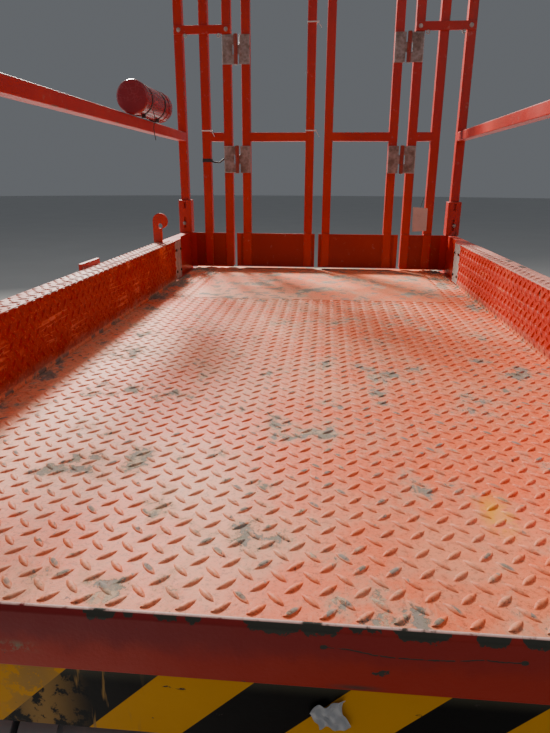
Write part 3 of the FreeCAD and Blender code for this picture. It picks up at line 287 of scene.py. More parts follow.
def scratches() -> bpy.types.NodeTree:
    """Thin broken lines in three directions."""
    book, given = new_group("scratches", "Scale", "Amount")
    lines = []
    for turn in (0.35, 1.15, 2.3):
        drawn = book.stretch(given["Vector"], (1.0, 0.06, 1.0), (turn * 0.4, turn, turn))
        lines.append(book.near(book.noise(drawn, given["Scale"], 2.0, 0.5), 0.5, 0.012))
    broken = book.cloud(given["Vector"], (9.0, 2.0), 0.5, 0.62)
    return book.close(book.times(book.times(book.most(*lines), broken), given["Amount"]))


def edge_wear() -> bpy.types.NodeTree:
    """Chips along the edges that the wear layer marks."""
    book, given = new_group("edge_wear", "Scale", "Amount")
    edge = book.add("ShaderNodeAttribute", attribute_name=WEAR_LAYER).outputs["Fac"]
    chips = book.noise(given["Vector"], given["Scale"], 5.0, 0.7)
    level = book.times(book.minus(1.0, given["Amount"]), 0.5)
    return book.close(book.times(edge, book.step(book.minus(chips, level), 0.16, 0.26)))


def settled_dust() -> bpy.types.NodeTree:
    """Dust on the faces that look up."""
    book, given = new_group("settled_dust", "Amount")
    rise = book.split(book.add("ShaderNodeNewGeometry").outputs["Normal"])[2]
    up = book.step(rise, 0.25, 0.95)
    cloud = book.slide(book.noise(given["Vector"], 7.0, 6.0, 0.6), 0.35, 1.0)
    return book.close(book.times(book.times(up, cloud), given["Amount"]))


@dataclass(frozen=True)
class Effects:
    """The wear that several finishes share, each as one shader group."""

    patches: bpy.types.NodeTree = field(default_factory=worn_patches)
    scratches: bpy.types.NodeTree = field(default_factory=scratches)
    edge_wear: bpy.types.NodeTree = field(default_factory=edge_wear)
    settled_dust: bpy.types.NodeTree = field(default_factory=settled_dust)


EFFECTS = Effects()


class Skin:
    """A material under construction, with its Principled shader and Object coordinates."""

    def __init__(self, name: str, roughness: float = 0.5, metallic: float = 0.0) -> None:
        """Args:
            name: the material's name.
            roughness: the uniform roughness, unless a mask drives it.
            metallic: the uniform metallic value, unless a mask drives it.
        """
        self.material = bpy.data.materials.new(name)
        self.material.use_nodes = True
        self.book = NodeBook(self.material.node_tree)
        self.shader = self.material.node_tree.nodes["Principled BSDF"]
        self.set(Roughness=roughness, Metallic=metallic)
        self.place = self.book.add("ShaderNodeTexCoord").outputs["Object"]

    def set(self, **values: object) -> None:
        """Feeds the shader's sockets; an underscore in a name stands for a space."""
        for name, value in values.items():
            self.book.feed(self.shader.inputs[name.replace("_", " ")], value)

    def raise_by(self, height: object, distance: float, strength: float = 1.0) -> None:
        """Bumps the surface by a height from 0 to 1."""
        bump = self.book.add("ShaderNodeBump")
        self.book.feed(bump.inputs["Distance"], distance)
        self.book.feed(bump.inputs["Strength"], strength)
        self.book.feed(bump.inputs["Height"], height)
        self.set(Normal=bump.outputs["Normal"])

    def worn(self, colour: object, bare: Colour, wear: object, rough: object, bare_rough: float) -> None:
        """Lays a colour over bare steel, which shows where the wear mask is 1."""
        book = self.book
        rough = book.most(book.times(wear, bare_rough), rough)
        self.set(Base_Color=book.over(colour, bare, wear), Roughness=rough)


@dataclass(frozen=True)
class Paint:
    """Factory paint with its fading, dust, scratches and chipped edges."""

    name: str
    colour: Colour
    faded: Colour
    bare: Colour = (0.09, 0.075, 0.065)
    dust: Colour = (0.42, 0.35, 0.28)
    dust_share: float = 0.35
    chips: float = 0.55
    roughness: float = 0.38
    bare_roughness: float = 0.62
    grain: float = 0.00035
    coat: float = 0.0

    def make(self) -> Material:
        """Builds the material."""
        skin = Skin(self.name, self.roughness)
        book, spot = skin.book, skin.place
        colour = book.over(self.colour, self.faded, book.cloud(spot, (3.2, 5.0, 0.6), 0.42, 0.72))
        dust = book.group(EFFECTS.settled_dust, Vector=spot, Amount=self.dust_share)
        speck = book.group(EFFECTS.patches, Vector=spot, Scale=38.0, Level=0.66, Soft=0.05)
        dirt = book.maths("ADD", dust, book.times(speck, 0.25), clamp=True)
        colour = book.over(colour, self.dust, dirt)
        marks = book.group(EFFECTS.scratches, Vector=spot, Scale=22.0, Amount=0.55)
        edge = book.group(EFFECTS.edge_wear, Vector=spot, Scale=34.0, Amount=self.chips)
        flake = book.group(EFFECTS.patches, Vector=spot, Scale=17.0, Level=0.735, Soft=0.012)
        wear = book.most(edge, flake)
        colour = book.over(colour, self.faded, marks, 0.6)
        rough = book.slide(book.noise(spot, 11.0), self.roughness - 0.07, self.roughness + 0.16)
        skin.worn(colour, self.bare, wear, book.most(rough, book.times(dirt, 0.8)), self.bare_roughness)
        skin.raise_by(book.minus(book.noise(spot, 260.0, 2.0), book.times(wear, 0.7)), self.grain, 0.5)
        skin.set(Coat_Weight=self.coat, Coat_Roughness=0.25)
        return skin.material


@dataclass(frozen=True)
class TreadPaint:
    """The deck's paint: coral underfoot, deep red on the walls, worn to grey steel in sharp patches.

    Each pair is where a mask begins and where it is whole, but the spilt paint's are a middle and a reach.
    """

    name: str = "deck_tread_paint"
    coral: Colour = (0.88, 0.170, 0.062)
    pale: Colour = (0.86, 0.310, 0.165)
    beige: Colour = (0.54, 0.385, 0.260)
    wall: Colour = (0.58, 0.022, 0.005)
    # Painted shade: the darker red of the left wall, for the shade that wall stands in
    shade: Colour = (0.34, 0.010, 0.002)
    # Painted highlight: the pale colour of the flange tops, for light catching these upward faces
    flange: Colour = (0.70, 0.33, 0.27)
    steel: Colour = (0.25, 0.235, 0.205)
    olive: Colour = (0.195, 0.195, 0.145)
    dark: Colour = (0.070, 0.045, 0.038)
    spilt: Colour = (0.80, 0.36, 0.02)
    wall_foot: Pair = (DECK + 0.006, DECK + 0.014)
    lug_tops: Pair = (DECK + 0.0012, DECK + 0.0022)
    grime_line: Pair = (DECK + 0.060, DECK + 0.022)
    flange_top: Pair = (FLANGE_TOP - 0.003, FLANGE_TOP - 0.0012)
    by_the_walls: Pair = (0.40, 0.545)
    far_end: Pair = (0.20, 0.75)
    wear_level: float = 0.590
    wear_more: float = 0.035
    spilt_x: Pair = (0.256, 0.030)
    spilt_y: Pair = (-0.905, 0.065)
    lugs_in_a_metre: float = 29.4

    def make(self) -> Material:
        """Builds the material."""
        skin = Skin(self.name, 0.5)
        book, spot = skin.book, skin.place
        x, y, z = book.split(spot)
        on_wall = book.step(z, *self.wall_foot)
        walked = book.minus(1.0, on_wall)
        tops = book.times(book.step(z, *self.lug_tops), walked)
        above = self._above(book, spot, x, y)
        dusty = book.times(book.step(above, -0.075, 0.02), 0.55)
        bare = book.times(book.step(above, 0.0, 0.014), walked)
        bare = book.most(bare, self._rubbed_lugs(book, spot, tops))
        colour = self._paint(book, spot, x, z, on_wall)
        # Lug tops paler: partly worn paint, partly a painted highlight for light catching the tops
        colour = book.over(colour, self.pale, tops, 0.22)
        colour = book.over(colour, self.beige, book.times(dusty, walked))
        mottle = book.noise(spot, 150.0, 5.0, 0.75)
        colour = book.over(colour, self.dark, book.step(mottle, 0.50, 0.36), 0.40)
        colour = book.over(colour, self.pale, book.step(mottle, 0.54, 0.66), 0.45)
        grit = book.noise(spot, 250.0, 4.0, 0.8)
        colour = book.over(colour, self._metal(book, spot, grit), bare, 0.92)
        colour = book.over(colour, self.dark, self._specks(book, spot, walked), 0.8)
        pool = book.times(book.near(x, *self.spilt_x), book.near(y, *self.spilt_y))
        pool = book.times(pool, book.cloud(spot, (34.0, 5.0, 0.7), 0.44, 0.52))
        colour = book.over(colour, self.spilt, book.times(pool, walked))
        edge = book.group(EFFECTS.edge_wear, Vector=spot, Scale=30.0, Amount=0.35)
        colour = book.over(colour, self.steel, edge)
        marks = book.group(EFFECTS.scratches, Vector=spot, Scale=16.0, Amount=0.5)
        colour = book.over(colour, self.pale, marks)
        matt = book.slide(book.most(bare, dusty), 0.50, 0.82)
        skin.set(Base_Color=colour, Roughness=matt, Specular_IOR_Level=0.22)
        rough = book.plus(grit, book.times(book.noise(spot, 60.0), 0.6))
        skin.raise_by(book.minus(rough, book.times(bare, 0.5)), 0.0008, 0.7)
        return skin.material

    def _above(self, book: NodeBook, spot: Socket, x: Socket, y: Socket) -> Socket:
        """How far the wear passes its level, which is lower by the walls and at the far end."""
        cloud = book.noise(book.stretch(spot, (1.0, 0.8, 1.0)), 8.5, 10.0, 0.72)
        corner = book.times(book.step(book.maths("ABSOLUTE", x), *self.by_the_walls), self.wear_more)
        far = book.times(book.step(y, *self.far_end), self.wear_more)
        return book.minus(cloud, book.minus(self.wear_level, book.plus(corner, far)))

    def _rubbed_lugs(self, book: NodeBook, spot: Socket, tops: Socket) -> Socket:
        """Lugs picked by chance, whose tops are worn to the steel."""
        turned = book.stretch(spot, (1.0, 1.0, 0.0), (0.0, 0.0, math.radians(45)))
        cells = book.cells(turned, self.lugs_in_a_metre * math.sqrt(2))
        chance = book.split(cells.outputs["Color"])[0]
        some = book.plus(chance, book.times(book.noise(spot, 4.2, 3.0), 0.45))
        return book.times(tops, book.step(some, 1.055, 1.09))

    def _metal(self, book: NodeBook, spot: Socket, grit: Socket) -> Socket:
        """The bare steel: grey to olive, with dried dirt and dark grit."""
        metal = book.over(self.steel, self.olive, book.cloud(spot, (34.0, 5.0, 0.7), 0.42, 0.60))
        metal = book.over(metal, self.beige, book.cloud(spot, (17.0, 6.0, 0.7), 0.53, 0.60))
        return book.over(metal, self.dark, book.step(grit, 0.56, 0.64))

    def _specks(self, book: NodeBook, spot: Socket, walked: Socket) -> Socket:
        """Dark specks underfoot, and blots that run down the walls."""
        speck = book.times(book.cloud(spot, (105.0, 5.0, 0.75), 0.655, 0.69), walked)
        drawn = book.stretch(spot, (1.0, 1.0, 0.3), shift=(7.0, 2.0, 1.0))
        return book.most(speck, book.group(EFFECTS.patches, Vector=drawn, Scale=40.0, Level=0.71, Soft=0.012))

    def _paint(self, book: NodeBook, spot: Socket, x: Socket, z: Socket, on_wall: Socket) -> Socket:
        """The paint itself: coral to pale on the floor, deep on the walls with painted shade on the left one,
        and a painted highlight on the flange tops.
        """
        left = book.times(book.step(x, 0.25, -0.40), 0.05)
        fade = book.step(book.plus(book.noise(spot, 2.8, 7.0, 0.64), left), 0.46, 0.66)
        floor = book.over(self.coral, self.pale, fade)
        floor = book.over(floor, self.beige, book.cloud(spot, (21.0, 6.0, 0.7), 0.46, 0.70), 0.30)
        # Painted shade: the left wall (X below 0) is painted darker than the right one, for the shade it
        # stands in
        wall = book.over(self.wall, self.shade, book.step(x, 0.1, -0.1))
        wall = book.over(wall, self.coral, book.cloud(spot, (6.0, 5.0), 0.58, 0.85))
        uneven = book.plus(z, book.times(book.noise(spot, 20.0, 5.0), 0.05))
        wall = book.over(wall, self.beige, book.step(uneven, *self.grime_line), 0.45)
        colour = book.over(floor, wall, on_wall)
        # Painted highlight: the flange tops are laid pale, for the glare on them
        return book.over(colour, self.flange, book.step(z, *self.flange_top), 0.85)


@dataclass(frozen=True)
class LipPaint:
    """The folded lip's dark red paint: painted highlight on its top edge, painted sky reflection over its
    upper part, chips below the edge, a scratch and scuffs.

    Each chip is its X, half width and depth. Scuffed and smudged are a middle and a reach along X and
    along Z. Darker, for the painted reflection, and brink, for the painted highlight, are the heights where a
    mask begins and where it is whole.
    """

    name: str = "folded_lip_paint"
    low: Colour = (0.40, 0.018, 0.004)
    # Painted reflection: the darker purplish red of the lip's upper part, for the sky mirrored in it
    high: Colour = (0.24, 0.014, 0.014)
    # Painted highlight colour for the broken pale line along the lip's top edge
    edge_highlight: Colour = (0.80, 0.50, 0.44)
    bare: Colour = (0.046, 0.045, 0.034)
    scuff: Colour = (0.21, 0.18, 0.11)
    chips: tuple[Point, ...] = (
        (-0.480, 0.025, 0.005), (-0.360, 0.030, 0.006), (-0.164, 0.020, 0.006), (-0.136, 0.007, 0.004),
        (-0.100, 0.014, 0.006), (-0.074, 0.010, 0.005), (0.000, 0.032, 0.010), (0.045, 0.024, 0.008),
        (0.085, 0.020, 0.004), (0.136, 0.032, 0.009), (0.199, 0.018, 0.010), (0.238, 0.017, 0.007),
        (0.340, 0.030, 0.008), (0.470, 0.030, 0.006),
    )
    darker: Pair = (1.246, 1.279)
    brink: Pair = (DECK - 0.0013, DECK - 0.0008)
    scuffed: tuple[Pair, Pair] = ((-0.255, 0.035), (1.253, 0.010))
    smudged: tuple[Pair, Pair] = ((0.080, 0.035), (1.231, 0.005))
    scratch_ends: Pair = (0.048, 0.228)
    scratch_height: float = 1.2782

    def make(self) -> Material:
        """Builds the material."""
        skin = Skin(self.name, 0.45)
        book, spot = skin.book, skin.place
        x, _, z = book.split(spot)
        cloud = book.noise(spot, 26.0, 6.0, 0.66)
        # Painted reflection: the lip's upper part is painted darker and purplish, more so on the left, for
        # the sky mirrored in it
        rise = book.step(book.plus(z, book.times(book.minus(cloud, 0.5), 0.05)), *self.darker)
        sky_reflection = book.times(rise, book.slide(book.step(x, 0.30, -0.20), 0.45, 1.0))
        colour = book.over(self.low, self.high, sky_reflection)
        scuffs = book.times(book.near(x, *self.scuffed[0]), book.near(z, *self.scuffed[1]))
        smudge = book.times(book.near(x, *self.smudged[0]), book.near(z, *self.smudged[1]))
        fine = book.cloud(spot, (70.0, 5.0, 0.7), 0.44, 0.56)
        colour = book.over(colour, self.scuff, book.times(scuffs, fine))
        colour = book.over(colour, self.bare, smudge, 0.8)
        flake = book.group(EFFECTS.patches, Vector=spot, Scale=42.0, Level=0.70, Soft=0.008)
        wear = book.most(self._chipped(book, spot, x, z), flake, self._scratch(book, spot, x, z))
        colour = book.over(colour, self.bare, wear)
        # Painted highlight: a broken pale line along the lip's top edge, for light catching it
        brink = book.times(book.step(z, *self.brink), book.cloud(spot, (55.0, 4.0), 0.36, 0.48))
        colour = book.over(colour, self.edge_highlight, brink)
        skin.set(Base_Color=colour, Roughness=book.slide(cloud, 0.38, 0.66), Specular_IOR_Level=0.28)
        skin.raise_by(book.minus(book.noise(spot, 210.0, 3.0), wear), 0.0006, 0.5)
        return skin.material

    def _chipped(self, book: NodeBook, spot: Socket, x: Socket, z: Socket) -> Socket:
        """The chips: ragged bites out of the paint under the lip's top edge."""
        lobes = []
        for middle, half, deep in self.chips:
            lobes.append(book.times(book.step(book.gap(x, middle), half, half * 0.45), deep))
        depth = book.most(*lobes)
        ragged = book.times(book.minus(book.noise(spot, 95.0, 6.0, 0.72), 0.53), 0.024)
        foot = book.minus(DECK - 0.0006, book.plus(depth, ragged))
        return book.times(book.step(book.minus(z, foot), -0.0003, 0.0003), book.step(depth, 0.0012, 0.0022))

    def _scratch(self, book: NodeBook, spot: Socket, x: Socket, z: Socket) -> Socket:
        """A long thin scratch along the lip that ends in two small blots."""
        start, end = self.scratch_ends
        fall = book.times(book.step(x, start, 0.120), -0.0068)
        back = book.times(book.step(x, 0.150, 0.195), 0.0036)
        waver = book.times(book.minus(book.noise(spot, 45.0, 4.0, 0.7), 0.5), 0.006)
        line = book.plus(book.plus(self.scratch_height, waver), book.plus(fall, back))
        away = book.gap(z, line)
        shown = book.times(book.step(x, start - 0.001, start), book.step(x, end + 0.001, end))
        drawn = book.times(book.step(away, 0.0010, 0.0004), shown)
        marks = [book.times(drawn, book.cloud(spot, (80.0, 3.0), 0.40, 0.47))]
        for middle in (start, end):
            blot = book.times(book.near(x, middle, 0.0045), book.near(away, 0.0, 0.0032))
            marks.append(book.step(blot, 0.12, 0.2))
        return book.most(*marks)


@dataclass(frozen=True)
class Hazard:
    """The slanting yellow and black band on the platform's near end, with peeled marks at its left.

    The lean is how far a stripe moves along X for each metre down. Peeled is a middle and a reach along X.
    """

    name: str = "hazard_band"
    yellow: Colour = (0.76, 0.33, 0.002)
    stained: Colour = (0.26, 0.13, 0.02)
    black: Colour = (0.003, 0.002, 0.0015)
    olive: Colour = (0.055, 0.050, 0.030)
    residue: Colour = (0.36, 0.19, 0.045)
    bare: Colour = (0.05, 0.035, 0.03)
    pitch: float = 0.189
    black_share: float = 0.495
    black_start: float = 0.174
    start_height: float = 1.224
    lean: float = -1.02
    soft: float = 0.003
    olive_height: Pair = (1.206, 1.226)
    streaked: Pair = (-0.12, -0.17)
    peeled: Pair = (-0.240, 0.060)

    def make(self) -> Material:
        """Builds the material."""
        skin = Skin(self.name, 0.42)
        book, spot = skin.book, skin.place
        x, _, z = book.split(spot)
        black = book.over(self.black, self.olive, book.step(z, *self.olive_height))
        tone = book.noise(spot, 9.0, 5.0)
        yellow = book.over(self.yellow, self.stained, tone, 0.40)
        colour = book.over(black, yellow, self._stripe(book, x, z))
        drawn = book.stretch(spot, (1.0, 1.0, 0.10))
        streaks = book.times(book.cloud(drawn, (95.0, 3.0), 0.60, 0.66), book.step(x, *self.streaked))
        peel = book.times(book.near(x, *self.peeled), book.cloud(spot, (38.0, 6.0, 0.7), 0.44, 0.50))
        colour = book.over(colour, self.residue, book.most(streaks, peel), 0.85)
        flat = book.stretch(spot, (1.0, 1.0, 2.2))
        chips = book.group(EFFECTS.patches, Vector=flat, Scale=28.0, Level=0.69, Soft=0.010)
        edge = book.group(EFFECTS.edge_wear, Vector=spot, Scale=26.0, Amount=0.6)
        skin.worn(colour, self.bare, book.most(chips, edge), book.slide(tone, 0.35, 0.6), 0.7)
        skin.set(Specular_IOR_Level=0.12)
        skin.raise_by(book.minus(book.noise(spot, 140.0, 3.0), chips), 0.0005, 0.4)
        return skin.material

    def _stripe(self, book: NodeBook, x: Socket, z: Socket) -> Socket:
        """1 in the yellow stripes and 0 in the black ones."""
        shift = book.times(book.minus(z, self.start_height), self.lean)
        along = book.minus(book.plus(x, shift), self.black_start)
        turn = book.maths("FRACT", book.maths("DIVIDE", book.plus(along, 10.0 * self.pitch), self.pitch))
        rise = book.step(turn, self.black_share - self.soft, self.black_share + self.soft)
        return book.times(rise, book.step(turn, 1.0 + self.soft, 1.0 - self.soft))


@dataclass(frozen=True)
class Zinc:
    """Galvanised steel with its pale spangle and brown film of dust."""

    name: str = "dusty_zinc"
    colour: Colour = (0.25, 0.215, 0.190)
    film: Colour = (0.155, 0.110, 0.085)
    spangle: Colour = (0.50, 0.48, 0.46)
    bright: Colour = (0.52, 0.50, 0.48)
    metallic: float = 0.3
    film_share: float = 0.8

    def make(self) -> Material:
        """Builds the material."""
        skin = Skin(self.name, 0.5, self.metallic)
        book, spot = skin.book, skin.place
        colour = book.over(self.colour, self.spangle, book.cells(spot, 85.0).outputs["Distance"], 0.7)
        film = book.cloud(spot, (26.0, 6.0, 0.65), 0.40, 0.66)
        edge = book.group(EFFECTS.edge_wear, Vector=spot, Scale=40.0, Amount=0.6)
        colour = book.over(colour, self.film, film, self.film_share)
        colour = book.over(colour, self.bright, edge, 0.5)
        skin.set(Base_Color=colour, Roughness=book.slide(film, 0.40, 0.70))
        skin.raise_by(book.noise(spot, 90.0), 0.0005, 0.5)
        return skin.material


@dataclass(frozen=True)
class Moulded:
    """Rubber, nylon or plastic with a fine moulded grain and scuffs."""

    name: str
    colour: Colour
    scuff: Colour = (0.30, 0.28, 0.26)
    roughness: float = 0.55
    grain: float = 0.0005
    grain_scale: float = 420.0
    dust_share: float = 0.3
    coat: float = 0.0
    dust: Colour = (0.42, 0.36, 0.30)

    def make(self) -> Material:
        """Builds the material."""
        skin = Skin(self.name, self.roughness)
        book, spot = skin.book, skin.place
        colour = book.over(self.colour, self.scuff, book.noise(spot, 9.0, 5.0, 0.6), 0.35)
        scuffs = book.group(EFFECTS.patches, Vector=spot, Scale=27.0, Level=0.63, Soft=0.06)
        marks = book.group(EFFECTS.scratches, Vector=spot, Scale=20.0, Amount=0.5)
        worn = book.most(book.times(scuffs, 0.35), marks)
        dust = book.group(EFFECTS.settled_dust, Vector=spot, Amount=self.dust_share)
        colour = book.over(book.over(colour, self.scuff, worn), self.dust, dust)
        rougher = min(0.95, self.roughness + 0.2)
        skin.set(Base_Color=colour, Roughness=book.slide(worn, self.roughness, rougher))
        skin.raise_by(book.noise(spot, self.grain_scale, 3.0, 0.6), self.grain, 0.4)
        skin.set(Coat_Weight=self.coat, Coat_Roughness=0.12)
        return skin.material


@dataclass(frozen=True)
class Steel:
    """Bare machined or rolled steel, with oil and light rust."""

    name: str
    colour: Colour = (0.52, 0.51, 0.50)
    stain: Colour = (0.17, 0.09, 0.05)
    roughness: float = 0.3
    stain_level: float = 0.62
    metallic: float = 0.9

    def make(self) -> Material:
        """Builds the material."""
        skin = Skin(self.name, self.roughness, self.metallic)
        book, spot = skin.book, skin.place
        turned = book.noise(book.stretch(spot, (1.0, 30.0, 30.0)), 25.0, 3.0)
        stain = book.group(EFFECTS.patches, Vector=spot, Scale=31.0, Level=self.stain_level, Soft=0.07)
        rough = book.slide(turned, self.roughness - 0.06, self.roughness + 0.12)
        rough = book.plus(rough, book.times(stain, 0.3))
        skin.set(Base_Color=book.over(self.colour, self.stain, stain), Roughness=rough)
        skin.raise_by(turned, 0.0002, 0.3)
        return skin.material


FINISHES = {
    "red": Paint(
        "orange_red_paint", (0.46, 0.013, 0.003), (0.54, 0.030, 0.008), bare=(0.26, 0.15, 0.11),
        dust_share=0.2, chips=0.22, coat=0.2,
    ),
    "chassis_red": Paint(
        "chassis_red_paint", (0.52, 0.024, 0.007), (0.58, 0.06, 0.02),
        dust_share=0.5, chips=0.65, roughness=0.45,
    ),
    # Painted shade: the kick plates are painted a darker red than the uprights, for the shade in the recess
    # behind the tubes
    "kick": Paint("kick_plate_painted_shade", (0.30, 0.008, 0.002), (0.36, 0.018, 0.005), dust_share=0.2, chips=0.3),
    "tread": TreadPaint(),
    "lip": LipPaint(),
    "hazard": Hazard(),
    "zinc": Zinc(),
    "knuckle": Paint("knuckle_red_paint", (0.30, 0.040, 0.022), (0.24, 0.10, 0.07), chips=0.6),
    "galvanised": Zinc("pale_galvanised", (0.40, 0.38, 0.35), (0.26, 0.23, 0.195), film_share=0.7),
    "grey": Paint(
        "arm_grey_paint", (0.155, 0.160, 0.168), (0.24, 0.245, 0.25),
        dust_share=0.45, chips=0.45, roughness=0.42,
    ),
    "black": Paint(
        "black_paint", (0.018, 0.018, 0.020), (0.05, 0.05, 0.052), bare=(0.16, 0.13, 0.11),
        dust_share=0.4, chips=0.35, roughness=0.45,
    ),
    "rim": Paint(
        "rim_white_paint", (0.62, 0.61, 0.57), (0.52, 0.50, 0.45), bare=(0.20, 0.10, 0.06),
        dust_share=0.4, chips=0.6, roughness=0.42,
    ),
    "tyre": Moulded(
        "solid_tyre_rubber", (0.014, 0.013, 0.012), (0.060, 0.055, 0.048),
        roughness=0.80, grain=0.0009, grain_scale=300.0, dust_share=0.16,
    ),
    "nylon": Moulded("roller_nylon", (0.035, 0.035, 0.038), (0.12, 0.12, 0.12), 0.42),
    "boot": Moulded("soft_rubber", (0.015, 0.015, 0.016), (0.08, 0.08, 0.08), 0.68),
    "canister": Moulded(
        "canister_red_plastic", (0.24, 0.005, 0.013), (0.34, 0.06, 0.07),
        roughness=0.20, grain=0.0002, grain_scale=160.0, coat=0.6,
    ),
    "case": Moulded(
        "control_case_plastic", (0.060, 0.062, 0.066), (0.20, 0.20, 0.20),
        roughness=0.5, grain=0.0006, grain_scale=520.0, dust_share=0.35,
    ),
    "signal_red": Moulded("stop_button_red", (0.62, 0.010, 0.008), (0.70, 0.15, 0.12), 0.3, coat=0.4),
    "signal_yellow": Moulded("button_collar_yellow", (0.75, 0.46, 0.02), (0.75, 0.6, 0.25), 0.38),
    "signal_green": Moulded("lamp_green", (0.02, 0.34, 0.09), (0.2, 0.5, 0.25), 0.25, coat=0.5),
    "tie": Moulded("white_tie_nylon", (0.74, 0.73, 0.70), (0.5, 0.48, 0.44), 0.45),
    "strap": Moulded("black_strap", (0.02, 0.02, 0.02), (0.1, 0.1, 0.1), 0.6),
    "paper": Moulded("weathered_paper", (0.66, 0.58, 0.53), (0.45, 0.33, 0.28), 0.85, 0.0008, 90.0, 0.2),
    "tape": Moulded("torn_silver_tape", (0.36, 0.36, 0.38), (0.62, 0.60, 0.58), 0.35, 0.0025, 70.0, 0.2),
    "steel": Steel("worn_steel"),
    "rust": Steel("chipped_dark_steel", (0.045, 0.036, 0.032), (0.13, 0.07, 0.045), 0.62, 0.5, 0.35),
    "chrome": Steel("chrome_rod", (0.80, 0.80, 0.82), (0.45, 0.42, 0.38), 0.09, 0.74, 1.0),
}
MADE: dict[str, Material] = {}


def finish(name: str) -> Material:
    """The material of a finish, built when it is first used."""
    if name not in MADE:
        MADE[name] = FINISHES[name].make()
    return MADE[name]


# Shapes


def of_kind(items: Iterable[object], kind: type) -> list:
    """Those of an operator's results that are of one kind, such as vertices."""
    return [item for item in items if isinstance(item, kind)]


def edges_of(faces: Iterable[Face]) -> set[Edge]:
    """The edges round some faces."""
    return {edge for face in faces for edge in face.edges}


